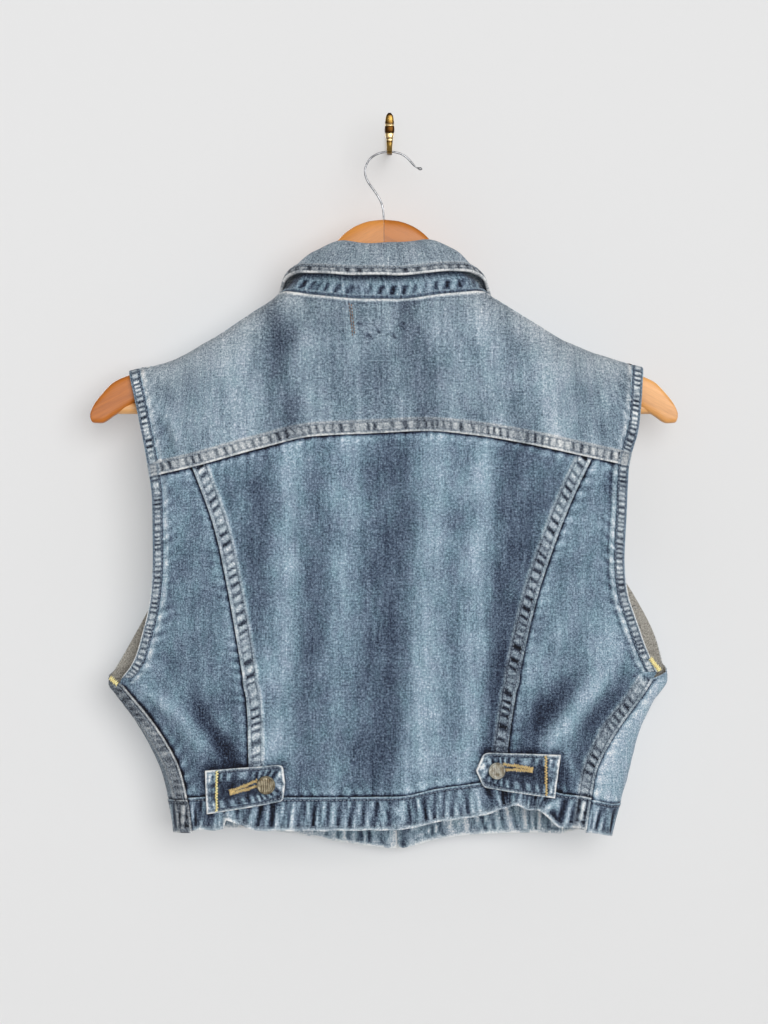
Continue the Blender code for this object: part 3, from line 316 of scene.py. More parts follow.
# The bar's rows are place out, height, width and thickness; its rings are height, width and swell
HOOK_BAR = (
    (-0.0012, -0.0082, 0.0040, 0.0022), (-0.0120, -0.0102, 0.0040, 0.0018),
    (-0.0300, -0.0136, 0.0040, 0.0014), (-0.0405, -0.0145, 0.0040, 0.0013),
    (-0.0446, -0.0134, 0.0040, 0.0018), (-0.0462, -0.0100, 0.0042, 0.0027),
    (-0.0468, -0.0060, 0.0049, 0.0030), (-0.0472, -0.0015, 0.0061, 0.0034),
    (-0.0474, 0.0020, 0.0072, 0.0038), (-0.0480, 0.0085, 0.0068, 0.0036), (-0.0486, 0.0132, 0.0054, 0.0030),
    (-0.0488, 0.0156, 0.0022, 0.0014),
)
HOOK_RINGS = (
    (0.0064, 0.0006, -0.0007), (0.0030, 0.0020, 0.0004), (0.0002, 0.0006, -0.0006),
    (-0.0036, 0.0005, -0.0004),
)

# Threads, and a thread's rings from end to end as share along, lift and size
STITCH, STITCH_SHARE = 0.0030, 0.70
THREAD, THREAD_SIDES = 0.00026, 5
THREAD_RINGS = ((0.0, -0.9, 0.55), (0.14, 0.35, 0.9), (0.5, 0.75, 1.0), (0.86, 0.35, 0.9), (1.0, -0.9, 0.55))

# Rows of stitches, as distances in from an edge
YOKE_ROWS, SIDE_ROWS = (0.0022, 0.0086), (0.0029, 0.0086)
CENTRE_ROWS, ARMHOLE_ROWS = (0.0029, 0.0092), (0.0014, 0.0072)
BAND_ROWS = {"top": 0.0022, "bottom": 0.0030}
PLACKET_ROW, FALL_ROW, STAND_ROW, TAB_ROW = 0.0025, 0.0054, 0.0026, 0.0020
SECOND_ROW_LOWER = 0.008

# Satin stitches to and fro: bars across the tabs, sides and ends of buttonholes, and bar tacks
Satin = namedtuple("Satin", "width pitch lift uneven radius rise")
TAB_BAR = Satin(0.0023, 0.00105, TAB_HEIGHT + 0.0002, 0.25, 0.00050, 1.7)
HOLE_SIDE = Satin(0.0030, 0.00070, TAB_HEIGHT, 0.30, 0.00033, 1.9)
HOLE_END = Satin(0.0022, 0.00050, TAB_HEIGHT + 0.0003, 0.25, 0.00033, 1.9)
TACK_BAR = Satin(0.0036, 0.00064, 0.0019, 0.25, 0.00042, 1.6)
BAR_SHORT = 0.0008
HOLE_HALF, HOLE_WIDENS, HOLE_END_HALF = 0.0009, 2.2, 0.0021
SATIN_SEED, CRUMPLE_SEED = 151, 41
Tack = namedtuple("Tack", "name start end")
TACKS = (
    Tack("left", (-0.2068, -0.4128), (-0.2010, -0.4172)),
    Tack("right", (0.2010, -0.3975), (0.2085, -0.4070)),
)

# The photograph's frame and the camera
PIXEL = 0.0007555
PICTURE = (768, 1024)
CAMERA_AIM_Z, CAMERA_PLANE, CAMERA_AWAY = -0.2871, -0.015, 2.2
SENSOR = 36.0

# Backdrop and light: an even soft one from the right, weaker ones round about, and a pale surround
WALL_GLOW, WALL_Y, WALL_HALF, WALL_TOP = 0.24, 0.0006, 5, 4
FLOOR_Z, FLOOR_HALF = -1.3, 6
SURROUND = 0.46
KEY_FROM, KEY_STRENGTH, KEY_SPREAD = (0.30, -1.00, 0.16), 2.04, math.radians(42)
Light = namedtuple("Light", "name place aim size power")
LIGHTS = (
    Light("fill", (-0.4, -2.6, 0.2), (0.0, -0.05, -0.30), 1.6, 3.0),
    Light("behind_left", (-1.0, 1.8, 0.5), (0.0, -0.02, -0.30), 1.4, 22.0),
    Light("behind_right", (1.2, 1.6, 0.1), (0.0, -0.02, -0.30), 1.4, 14.0),
)


def srgb(red, green, blue):
    """A colour as linear light from its display values, 0 to 255."""
    shown = np.array([red, green, blue]) / 255
    linear = np.where(shown <= 0.04045, shown / 12.92, ((shown + 0.055) / 1.055) ** 2.4)
    return (*(float(c) for c in linear), 1.0)


def shades(*rows):
    """Stops of a colour ramp from rows of place, red, green and blue."""
    return tuple((at, srgb(*colour)) for at, *colour in rows)


# Denim from its dips to its worn edges: greener and redder blues, greyed cloth and the wrong side
TEAL_STOPS = shades((0.00, 6, 12, 20), (0.20, 32, 48, 63), (0.40, 79, 102, 118), (0.55, 114, 142, 157),
                    (0.75, 159, 187, 203), (1.00, 236, 241, 242))
INDIGO_STOPS = shades((0.00, 8, 9, 22), (0.20, 40, 47, 70), (0.40, 87, 100, 122), (0.55, 123, 138, 158),
                      (0.75, 170, 185, 205), (1.00, 240, 240, 243))
GREY_STOPS = shades((0.00, 12, 14, 20), (0.20, 46, 51, 62), (0.40, 96, 104, 114), (0.55, 138, 146, 153),
                    (0.75, 184, 188, 191), (1.00, 240, 240, 238))
REVERSE_STOPS = shades((0.00, 52, 54, 58), (0.40, 136, 133, 126), (0.60, 176, 171, 162),
                       (1.00, 220, 216, 206))
TWILL_PITCH, TWILL_LEAN = 0.00135, 0.90

# What the denim's paleness varies with: size across and down, detail, roughness and weight
Grain = namedtuple("Grain", "across down detail roughness weight")
PEPPER = Grain(0.0013, 0.0013, 2.0, 0.70, 1.08)
YARN = Grain(0.0007, 0.016, 2.0, 0.55, 0.30)
GRAINS = (
    PEPPER,
    YARN,
    Grain(0.016, 0.0007, 1.0, 0.50, 0.12),
    Grain(0.0030, 0.0030, 2.0, 0.60, 0.36),
    Grain(0.0036, 0.060, 3.0, 0.60, 0.26),
    Grain(0.018, 0.080, 5.0, 0.66, 0.17),
)
HUE_GRAIN = Grain(0.010, 0.018, 3.0, 0.60, 1.0)
HUE_BY_TONE = 1.1

# The wall hook's brass from its lowest part to its tip, coloured by height: pale bands of painted glints,
# mostly on its rings, and dark bands of painted reflection and patina between them
BRASS_GLINT, BRASS_MID, BRASS_DARK_REFLECTION_AND_PATINA = srgb(222, 194, 142), srgb(150, 120, 62), srgb(72, 46, 18)
BRASS_GLINT_BANDS = (
    (-0.0165, BRASS_DARK_REFLECTION_AND_PATINA), (-0.0135, BRASS_MID), (-0.0075, BRASS_MID), (-0.0058, BRASS_DARK_REFLECTION_AND_PATINA),
    (-0.0046, BRASS_GLINT), (-0.0036, BRASS_DARK_REFLECTION_AND_PATINA), (-0.0028, BRASS_GLINT), (-0.0002, BRASS_GLINT),
    (0.0006, BRASS_DARK_REFLECTION_AND_PATINA), (0.0054, BRASS_DARK_REFLECTION_AND_PATINA), (0.0062, BRASS_GLINT), (0.0068, BRASS_GLINT),
    (0.0076, BRASS_DARK_REFLECTION_AND_PATINA), (0.0110, BRASS_MID), (0.0146, BRASS_DARK_REFLECTION_AND_PATINA),
)
WALL_PALE = srgb(228, 228, 228)
GRAIN_DARK, GRAIN_CLEAR = (0.66, 0.58, 0.50, 1.0), (1.0, 1.0, 1.0, 1.0)
GRAIN_TURN = 0.48


def through(xs, ys):
    """A smooth curve through the given points, with no overshoot between them."""
    order = np.argsort(xs)
    xs = np.asarray(xs, float)[order]
    ys = np.asarray(ys, float)[order]
    step = np.diff(xs)
    chord = np.diff(ys) / step
    slope = np.empty_like(ys)
    slope[0] = chord[0]
    slope[-1] = chord[-1]
    product = chord[:-1] * chord[1:]
    total = np.where(product > 0, chord[:-1] + chord[1:], 1.0)
    slope[1:-1] = np.where(product > 0, 2 * product / total, 0.0)

    def at(x):
        x = np.clip(x, xs[0], xs[-1])
        i = np.clip(np.searchsorted(xs, x) - 1, 0, len(step) - 1)
        t = (x - xs[i]) / step[i]
        level = ys[i] * (1 + 2 * t) * (1 - t) ** 2 + ys[i + 1] * t * t * (3 - 2 * t)
        return level + step[i] * t * (1 - t) * (slope[i] * (1 - t) - slope[i + 1] * t)

    return at


def curves(rows):
    """A smooth curve for each later column of a table, over its first column."""
    first, *rest = zip(*rows)
    return [through(first, column) for column in rest]


def row_by_row(rows, steps):
    """Where between a table's rows each place lies, and its columns followed smoothly there."""
    at = np.linspace(0, len(rows) - 1, steps * len(rows))
    return at, [through(range(len(rows)), column)(at) for column in zip(*rows)]


def raised(curve, distance):
    return lambda x: curve(x) + distance


def at_height(z):
    return lambda x: np.full_like(x, z)


def unit(vectors):
    return vectors / np.linalg.norm(vectors, axis=-1, keepdims=True)


def distances(line):
    """How far along a line each of its points lies."""
    return np.concatenate([[0.0], np.cumsum(np.linalg.norm(np.diff(line, axis=0), axis=-1))])


def around(count):
    return np.linspace(0, 2 * np.pi, count, endpoint=False)


def ease(t):
    t = np.clip(t, 0.0, 1.0)
    return t * t * (3 - 2 * t)


def stretch(d, low, high, rise, fall=None):
    """1 between two places, easing in from the low one and out to the high one."""
    return ease((d - low) / rise) * ease((high - d) / (fall or rise))


def bell(d, at, width):
    return np.exp(-(((d - at) / width) ** 2))


def bells(d, rows):
    """Lines side by side along an edge, from rows of weight, place and width."""
    return sum(weight * bell(d, at, width) for weight, at, width in rows)


def ripple(s, size, seed):
    """An even random swell along a line, about from -1 to 1, the same for the same seed."""
    rng = np.random.default_rng(seed)
    total = np.zeros_like(s)
    for _ in range(5):
        total = total + np.sin(2 * np.pi * s / (size * rng.uniform(0.7, 1.5)) + rng.uniform(0, 2 * np.pi))
    return total / 2.4


def waves(x, z, size, seed):
    """An even random swell over a surface, about from -1 to 1, the same for the same seed."""
    rng = np.random.default_rng(seed)
    total = np.zeros(np.broadcast(x, z).shape)
    for _ in range(10):
        turn, phase = rng.uniform(0, 2 * np.pi, 2)
        pitch = size * rng.uniform(0.7, 1.5)
        total = total + np.sin(2 * np.pi * (x * math.cos(turn) + z * math.sin(turn)) / pitch + phase)
    return total / 3.4


def dips(s, period, seed, sharp=1.4):
    """Uneven puckers along a seam: 1 at the bottom of a dip and 0 on a bump."""
    phase = s / period + 0.34 * ripple(s, 6 * period, seed)
    strength = np.clip(0.74 + 0.40 * ripple(s, 5 * period, seed + 1), 0.10, 1.0)
    return (0.5 + 0.5 * np.cos(2 * np.pi * phase)) ** sharp * strength


reach_left, reach_right, depth_back, depth_front = curves(SECTIONS)
across_tables = (SHOULDER, BACK_NECK, YOKE_SEAM, BACK_HEM, FRONT_HEM, CENTRE_FADE_AND_SHADE, YOKE_FADE_AND_SHADE)
shoulder, back_neck, yoke_seam, back_hem_line, front_hem, centre_fade_and_shade, yoke_fade_and_shade = (
    curve for rows in across_tables for curve in curves(rows)
)
back_band_top = raised(back_hem_line, BAND_HEIGHT)
front_band_top = raised(front_hem, BAND_HEIGHT)


def front_neck(x):
    return shoulder(NECK_HALF) - FRONT_NECK_DROP * (1 - np.clip(np.abs(x) / NECK_HALF, 0, 1) ** 2)


def back_top(x):
    return np.where(np.abs(x) < NECK_HALF, back_neck(x), shoulder(x))


def front_top(x):
    return np.where(np.abs(x) < NECK_HALF, front_neck(x), shoulder(x))


def back_hem(x):
    """The back's lower edge, scalloped where the tabs draw it in and lifted under the left one."""
    drawn = HEM_SCALLOP + bells(x, HEM_DRAWN)
    lifted = 0.0065 * stretch(x, -0.1215, -0.0945, 0.003, 0.024)
    return back_hem_line(x) + drawn * ripple(x, 0.0180, 131) + lifted


def angle_at(x, z, face):
    """The angle round the body of a place across it, on the back or on the left or right of the front."""
    left = reach_left(z)
    right = reach_right(z)
    t = np.clip((2 * x - left - right) / (right - left), -1, 1)
    angle = np.arcsin(np.sign(t) * np.abs(t) ** (ROUND / 2))
    return angle if face == BACK else face * np.pi - angle


def squared(wave, power):
    return np.sign(wave) * np.abs(wave) ** power


def across(angle, z):
    left = reach_left(z)
    right = reach_right(z)
    return (left + right) / 2 + (right - left) / 2 * squared(np.sin(angle), 2 / ROUND)


def folds(rows, x, z):
    """How far folds stand out at a place on the back."""
    out = np.zeros_like(x)
    for at_x, at_z, degrees, length, width, height in rows:
        turn = math.radians(degrees)
        along = (x - at_x) * math.cos(turn) + (z - at_z) * math.sin(turn)
        aside = (z - at_z) * math.cos(turn) - (x - at_x) * math.sin(turn)
        out = out + height * np.exp(-((aside / width) ** 2) - (along / length) ** 4)
    return out


def body(angle, z):
    """Points on the outside of the gilet's body."""
    x = across(angle, z)
    on_back = np.cos(angle) > 0
    side = np.abs(np.cos(angle)) ** (2 / ROUND)
    below = np.clip(shoulder(x) - z, 0, None)
    crest = np.sqrt(np.clip(1 - (1 - np.clip(below / FOLD_RADIUS, 0, 1)) ** 2, 0, 1))
    full = np.where(on_back, depth_back(z), depth_front(z))
    full = FOLD_RADIUS + (full - FOLD_RADIUS) * ease(below / BULGE_RUN)
    closed = ease((ARMHOLE_FROM - z) / (ARMHOLE_FROM - ARMHOLE_TO))
    depth = full * side + FOLD_RADIUS * (1 - side) * (1 - closed)
    neck = np.where(on_back, NECK_BULGE_BACK, NECK_BULGE_FRONT)
    neck_at = np.where(on_back, back_top(x), front_top(x))
    neck = neck * np.clip(1 - (x / NECK_BULGE_HALF) ** 2, 0, 1)
    depth = depth + neck * bell(np.clip(neck_at - z, 0, None), 0.0, NECK_BULGE_DOWN)
    depth = depth + np.where(on_back, folds(FOLDS, x, z), 0.0) * side
    depth = crest * depth + GAP / 2 * (1 - closed)
    return np.stack([x, np.where(on_back, -depth, depth), z], axis=-1)


Mark = namedtuple("Mark", "z x face")


def closer(face, rows):
    """An edge's marks, many more than the measured ones, so that it runs evenly between those."""
    across_at = through(*zip(*rows))
    return tuple(Mark(z, float(across_at(z)), face) for z in np.linspace(rows[0][0], rows[-1][0], EDGE_MARKS))


edges = {name: closer(*row) for name, row in EDGES.items()}


def edge(*parts):
    """The angle for any height of an edge made of named ones, each moved sideways by its own shift."""
    marks = [(mark, shift if mark.face == BACK else -shift) for name, shift in parts for mark in edges[name]]
    angles = [float(angle_at(np.float64(mark.x + shift), mark.z, mark.face)) for mark, shift in marks]
    return through([mark.z for mark, _ in marks], angles)


def centre_edge(x, face):
    return lambda z: angle_at(x, z, face)


def patch(left, right, top, bottom, wide, tall):
    """Points of the body between four edges, at shares from left to right and from the top down."""
    a = wide[None, :]
    b = tall[:, None]
    z = np.full(np.broadcast(a, b).shape, PATCH_START)
    for _ in range(PATCH_ROUNDS):
        angle = left(z) * (1 - a) + right(z) * a
        x = across(angle, z)
        z = (z + top(x) * (1 - b) + bottom(x) * b) / 2
    return body(angle, z)


def shares(length, step, fine=0.0, first=0.0, last=0.0, blend=0.006):
    """Shares along a length, closer together over its first and last stretches."""
    along = np.linspace(0, length, SHARE_SAMPLES)
    near = np.zeros_like(along)
    if first:
        near = np.maximum(near, 1 - ease((along - first) / blend))
    if last:
        near = np.maximum(near, 1 - ease((length - last - along) / blend))
    density = 1 / step + (1 / (fine or step) - 1 / step) * near
    total = np.concatenate([[0.0], np.cumsum((density[1:] + density[:-1]) / 2 * np.diff(along))])
    count = int(round(total[-1]))
    return np.interp(np.linspace(0, total[-1], count + 1), total, along) / length


def crested(down, tall):
    """The same shares down a cloth, closer together where it turns over a shoulder."""
    crest = FOLD_RADIUS * (1 - np.cos(np.linspace(0, np.pi / 2, CREST_STEPS))) / tall
    return np.concatenate([crest[:-1], crest[-1] + (1 - crest[-1]) * down])


def facing(points):
    return unit(np.cross(np.gradient(points, axis=0), np.gradient(points, axis=1)))


# Turns a grid so that one of its edges runs along the first axis and the cloth lies along the second
TURN_TO = {
    "left": lambda g: g,
    "right": lambda g: g[:, ::-1],
    "top": lambda g: np.swapaxes(g, 0, 1),
    "bottom": lambda g: np.swapaxes(g[::-1], 0, 1),
}
TURN_BACK = {**TURN_TO, "bottom": lambda g: np.swapaxes(g, 0, 1)[::-1]}


def rim(points, side):
    """How far each point of a grid is from one of its edges, and how far along that edge it lies."""
    turned = TURN_TO[side](points)
    away = np.linalg.norm(np.diff(turned, axis=1), axis=-1)
    away = np.concatenate([np.zeros((len(away), 1)), np.cumsum(away, axis=1)], axis=1)
    tangent = unit(np.gradient(turned[:, 0], axis=0))
    inward = unit(turned[:, 4] - turned[:, 0])
    cosine = np.sum(tangent * inward, axis=-1)
    sine = np.sqrt(np.clip(1 - cosine**2, 0.05, 1))
    d = away * sine[:, None]
    s = distances(turned[:, 0])[:, None] + away * cosine[:, None]
    return TURN_BACK[side](d), TURN_BACK[side](s)


def felled(d, s, look):
    """Lift, paleness and greyness of a strip that laps over the next cloth and is sewn down twice."""
    dip = dips(s + look.slant * d, look.period, look.seed, 2.0)
    between = stretch(d, look.brim - FELL_SOFT / 2, look.width - 0.0008, FELL_SOFT)
    on = ease((look.width + FELL_SOFT - d) / FELL_SOFT)
    uneven = 0.75 + 0.25 * ripple(s, 0.021, look.seed + 5)
    rough = ripple(s + 0.5 * d, 0.0034, look.seed + 6)
    lift = look.ledge * on - look.dip * between * dip
    tone = look.rim * uneven * ease((look.brim - d) / 0.0009)
    tone = tone + look.ridge * uneven * bell(d, look.width + 0.0004, 0.0013)
    tone = tone + between * (look.pale - look.dark * dip) + 0.05 * rough * on
    tone = tone - 0.14 * bell(d, look.brim + 0.0003, 0.0006) - 0.12 * bell(d, look.width - 0.0016, 0.0006)
    return np.stack([lift, tone, look.grey * on])


def tucked(d, s, seed):
    """The same for an edge that goes under the next cloth, with a painted shadow line beside the lapping edge.
    """
    lift = -TUCK_DEPTH * bell(d, 0.0, 1.5 * TUCK)
    tone = bells(d, TUCK_SHADOW_LINES)
    small = ripple(s + 0.4 * d, 0.0080, seed) * bell(d, TUCK + 0.0015, 0.0065)
    return np.stack([lift + 0.0003 * small, tone + 0.10 * small, np.zeros_like(d)])


def puckered(d, s, seed, shadow_depth=0.0):
    """The same for cloth beside an armhole band: small puckers, a worn line and a painted shadow line beyond
    it.
    """
    small = ripple(s + 0.7 * d, 0.0078, seed) * bell(d, ARMHOLE_BAND, 0.0085)
    line = bell(d, ARMHOLE_BAND + 0.0012, 0.0018) * (0.8 + 0.2 * ripple(s, 0.020, seed + 1))
    tone = 0.10 * small + 0.30 * line - shadow_depth * bell(d, ARMHOLE_BAND + 0.0036, 0.0014)
    return np.stack([0.00045 * small + 0.0003 * line, tone, 0.4 * line])


collection = bpy.context.scene.collection
made_cloth = {}
Made = namedtuple("Made", "points normals")


def place_object(name, data, material, slot):
    thing = bpy.data.objects.new(name, data)
    collection.objects.link(thing)
    data.materials.append(material)
    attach(thing, "root")
    return thing


def quads(rows, columns, closed=False):
    """Faces between neighbouring points of a grid, whose rows may each close into a ring."""
    low = np.arange(rows - 1)[:, None] * columns
    here = np.arange(columns if closed else columns - 1)[None, :]
    beyond = (here + 1) % columns
    corners = [low + here, low + columns + here, low + columns + beyond, low + beyond]
    return np.stack(corners, axis=-1).reshape(-1, 4)


def smooth_mesh(name, points, faces):
    mesh = bpy.data.meshes.new(name)
    mesh.from_pydata(points.reshape(-1, 3).tolist(), [], faces)
    mesh.shade_smooth()
    return mesh


def weave_run(points):
    """How far cloth lies from the middle of the body, measured round its sides."""
    x = points[..., 0]
    deep = np.abs(points[..., 1])
    return x + np.sign(x) * ease((np.abs(x) - 0.12) / 0.05) * (deep.max() - deep)


def cloth(name, points, fields, slot, thick=CLOTH, reverse=1.0, inner_painted_light=0.0, run=None):
    """A closed sheet of cloth in place of a CAD node, whose points keep paleness, greyness and weave."""
    lift, tone, grey = fields
    normals = facing(points)
    outer = points + normals * lift[..., None]
    made_cloth[name] = Made(outer, facing(outer))
    index = np.arange(tone.size).reshape(tone.shape)
    start = np.concatenate([index[0], index[1:, -1], index[-1, -2::-1], index[-2:0:-1, 0]])
    end = np.roll(start, -1)
    rims = np.stack([start, end, end + tone.size, start + tone.size], axis=-1)
    outside = quads(*tone.shape)
    faces = np.concatenate([outside, outside[:, ::-1] + tone.size, rims])
    mesh = smooth_mesh(name, np.stack([outer, outer - normals * thick]) + PLACE, faces.tolist())
    run = weave_run(points) if run is None else run
    # The inner face is made paler by a painted light, where the inside lies in shade
    values = {
        "tone": np.stack([tone, tone + inner_painted_light]),
        "grey": np.stack([grey, grey]),
        "reverse": np.repeat([0.0, reverse], tone.size),
    }
    for key, value in values.items():
        mesh.attributes.new(key, "FLOAT", "POINT").data.foreach_set("value", value.astype(np.float32).ravel())
    weave = np.stack([run, points[..., 2], np.zeros_like(run)], axis=-1)
    store = mesh.attributes.new("weave", "FLOAT_VECTOR", "POINT")
    store.data.foreach_set("vector", np.stack([weave, weave]).astype(np.float32).ravel())
    thing = place_object(name + "_cloth", mesh, denim_looks[slot], slot)
    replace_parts(thing, name)
    row_length, column_length = (np.linalg.norm(np.diff(points, axis=k), axis=-1).sum(axis=k) for k in (1, 0))
    return thing


def node(tree, kind, inputs=None, **settings):
    """A shader node with its settings, and its inputs linked or set."""
    made = tree.nodes.new(kind)
    for key, value in settings.items():
        setattr(made, key, value)
    for key, value in (inputs or {}).items():
        if isinstance(value, bpy.types.NodeSocket):
            tree.links.new(value, made.inputs[key])
        else:
            made.inputs[key].default_value = value
    return made


def sums(tree, operation, *values):
    """The result of a Math node on sockets and numbers."""
    return node(tree, "ShaderNodeMath", dict(enumerate(values)), operation=operation).outputs[0]


def about_middle(tree, value, weight, base):
    """A value between 0 and 1 that moves a base up and down by a weight."""
    return sums(tree, "MULTIPLY_ADD", sums(tree, "SUBTRACT", value, 0.5), weight, base)


def noise(tree, vector, sizes, detail=2.0, roughness=0.5):
    """Noise in which one step is the given size each way."""
    inputs = {0: vector, 1: tuple(1 / size for size in sizes)}
    steps = node(tree, "ShaderNodeVectorMath", inputs, operation="MULTIPLY").outputs[0]
    inputs = {"Vector": steps, "Scale": 1.0, "Detail": detail, "Roughness": roughness}
    return node(tree, "ShaderNodeTexNoise", inputs).outputs["Fac"]


def ramp(tree, value, stops):
    made = node(tree, "ShaderNodeValToRGB", {"Fac": value})
    line = made.color_ramp
    while len(line.elements) < len(stops):
        line.elements.new(0.5)
    for element, (at, colour) in zip(line.elements, stops):
        element.position = at
        element.color = colour
    return made.outputs["Color"]


def ranged(tree, value, **ends):
    """A value mapped from one range to another, with the ends named as from_min and so on."""
    inputs = {key.replace("_", " ").title(): end for key, end in ends.items()}
    return node(tree, "ShaderNodeMapRange", {"Value": value, **inputs}).outputs[0]


def mixed(tree, share, first, second):
    """Two colours mixed; a Mix node's sockets 0, 6 and 7 are the share and the colours."""
    return node(tree, "ShaderNodeMix", {0: share, 6: first, 7: second}, data_type="RGBA").outputs[2]


def surface_of(name, roughness, metallic=0.0, **constants):
    """A new material, its tree and its shader, with what is the same all over set on the shader itself."""
    material = bpy.data.materials.new(name)
    material.use_nodes = True
    tree = material.node_tree
    shader = tree.nodes["Principled BSDF"]
    for key, value in {"Roughness": roughness, "Metallic": metallic, **constants}.items():
        shader.inputs[key].default_value = value
    return material, tree, shader


def bump(tree, shader, height, distance, strength=1.0):
    inputs = {"Height": height, "Distance": distance, "Strength": strength}
    tree.links.new(node(tree, "ShaderNodeBump", inputs).outputs["Normal"], shader.inputs["Normal"])


def denim(name):
    constants = {"Sheen Weight": 0.12, "Sheen Roughness": 0.5, "Specular IOR Level": 0.25}
    material, tree, shader = surface_of(name, 0.88, **constants)
    kept = {}
    for key in ("tone", "grey", "reverse", "weave"):
        kept[key] = node(tree, "ShaderNodeAttribute", attribute_name=key).outputs
    weave = kept["weave"]["Vector"]
    tone = kept["tone"]["Fac"]
    parts = node(tree, "ShaderNodeSeparateXYZ", {"Vector": weave}).outputs
    value = tone
    made = {}
    for grain in (*GRAINS, HUE_GRAIN):
        made[grain] = noise(tree, weave, (grain.across, grain.down, 1.0), grain.detail, grain.roughness)
    for grain in GRAINS:
        value = about_middle(tree, made[grain], grain.weight, value)
    diagonal = sums(tree, "MULTIPLY_ADD", parts["Y"], TWILL_LEAN, parts["X"])
    turns_along = sums(tree, "MULTIPLY", diagonal, 2 * math.pi / TWILL_PITCH)
    twill = sums(tree, "SINE", sums(tree, "MULTIPLY_ADD", made[YARN], 2.6, turns_along))
    value = sums(tree, "MULTIPLY_ADD", twill, 0.045, value)
    deep = sums(tree, "MAXIMUM", sums(tree, "SUBTRACT", 0.5, tone), 0.0)
    leaning = sums(tree, "MULTIPLY_ADD", deep, HUE_BY_TONE, made[HUE_GRAIN])
    hue = ranged(tree, leaning, from_min=0.32, from_max=0.68, to_max=0.68)
    colour = mixed(tree, hue, ramp(tree, value, TEAL_STOPS), ramp(tree, value, INDIGO_STOPS))
    colour = mixed(tree, kept["grey"]["Fac"], colour, ramp(tree, value, GREY_STOPS))
    wrong_side = about_middle(tree, made[PEPPER], 1.5, 0.5)
    wrong_side = sums(tree, "MULTIPLY_ADD", twill, 0.12, wrong_side)
    wrong_side = about_middle(tree, tone, 0.6, wrong_side)
    colour = mixed(tree, kept["reverse"]["Fac"], colour, ramp(tree, wrong_side, REVERSE_STOPS))
    tree.links.new(colour, shader.inputs["Base Color"])
    height = sums(tree, "MULTIPLY_ADD", twill, 0.35, sums(tree, "MULTIPLY", made[PEPPER], 1.8))
    bump(tree, shader, sums(tree, "ADD", height, made[YARN]), 0.00028, 0.7)
    return material


def thread(name, colour, deep):
    """Twisted cotton: uneven colour and fine slanting strands."""
    material, tree, shader = surface_of(name, 0.72, **{"Sheen Weight": 0.15})
    where = node(tree, "ShaderNodeTexCoord").outputs["Object"]
    blotch = noise(tree, where, (0.0011, 0.0011, 0.0011), 2.0, 0.6)
    tree.links.new(ramp(tree, blotch, ((0.30, deep), (0.62, colour))), shader.inputs["Base Color"])
    bump(tree, shader, noise(tree, where, (0.00022, 0.00022, 0.00022), 1.0), 0.0001, 0.6)
    return material


denim_looks = {name: denim(name) for name in ("denim", "denim_pale")}
tonal_thread = thread("tonal_thread", srgb(150, 164, 176), srgb(84, 98, 116))
yellow_thread = thread("yellow_thread", srgb(255, 246, 184), srgb(236, 208, 120))
gold_thread = thread("gold_thread", srgb(234, 208, 146), srgb(180, 148, 92))
brown_thread = thread("brown_thread", srgb(150, 112, 84), srgb(86, 66, 62))


def crumples():
    """Small creases scattered over the back, in the columns of the creases' table."""
    rng = np.random.default_rng(CRUMPLE_SEED)
    for _ in range(CRUMPLES):
        x = rng.uniform(-0.18, 0.18)
        z = rng.uniform(-0.49, -0.15)
        turn = rng.choice([-1, 1]) * rng.uniform(40, 88)
        height = rng.choice([-1, 1]) * rng.uniform(0.0002, 0.0005)
        yield x, z, turn, rng.uniform(0.006, 0.016), rng.uniform(0.0016, 0.0034), height


small_creases = CREASES + tuple(crumples())


def relief(x, z):
    """Small creases and unevenness of the back cloth."""
    return folds(small_creases, x, z) + 0.00028 * waves(x, z, 0.030, 3) + 0.00010 * waves(x, z, 0.0085, 4)


def worn_and_shaded(x, z, lift):
    """Paler on what stands out and darker in what lies deep, partly wear and partly painted shade of the
    creases and folds, with uneven fading.
    """
    return 64 * lift + 0.030 * waves(x, z, 0.055, 5) + 0.022 * waves(x, 0.35 * z, 0.012, 6)


def tab_sides(tab, along):
    """Heights of a tab's upper and lower side, from its tail at 0 to its head at 1."""
    high = tab.top_tail + (tab.top_head - tab.top_tail) * along
    low = tab.low_tail + (tab.low_head - tab.low_tail) * along
    return high, low


def tab_shade(x, z):
    """How much darker the cloth is close round the tabs."""
    shade = np.zeros_like(x)
    for tab in TABS:
        high, low = tab_sides(tab, (x - tab.tail) / (tab.head - tab.tail))
        aside = np.clip(np.abs(x - (tab.tail + tab.head) / 2) - abs(tab.head - tab.tail) / 2, 0, None)
        away = np.hypot(aside, np.clip(np.abs(z - (high + low) / 2) - (high - low) / 2, 0, None))
        shade = shade + bell(away, 0.0, 0.0042)
    return shade


def label_ghost(x, z):
    tone = np.zeros_like(x)
    speckle = np.clip(0.6 + 0.6 * waves(x, z, 0.0052, 23), 0, 1.3)
    for at_x, at_z, half_x, half_z, depth in GHOST:
        spot = np.exp(-(((x - at_x) / half_x) ** 4) - ((z - at_z) / half_z) ** 4)
        tone = tone + 1.4 * depth * spot * speckle
    return tone


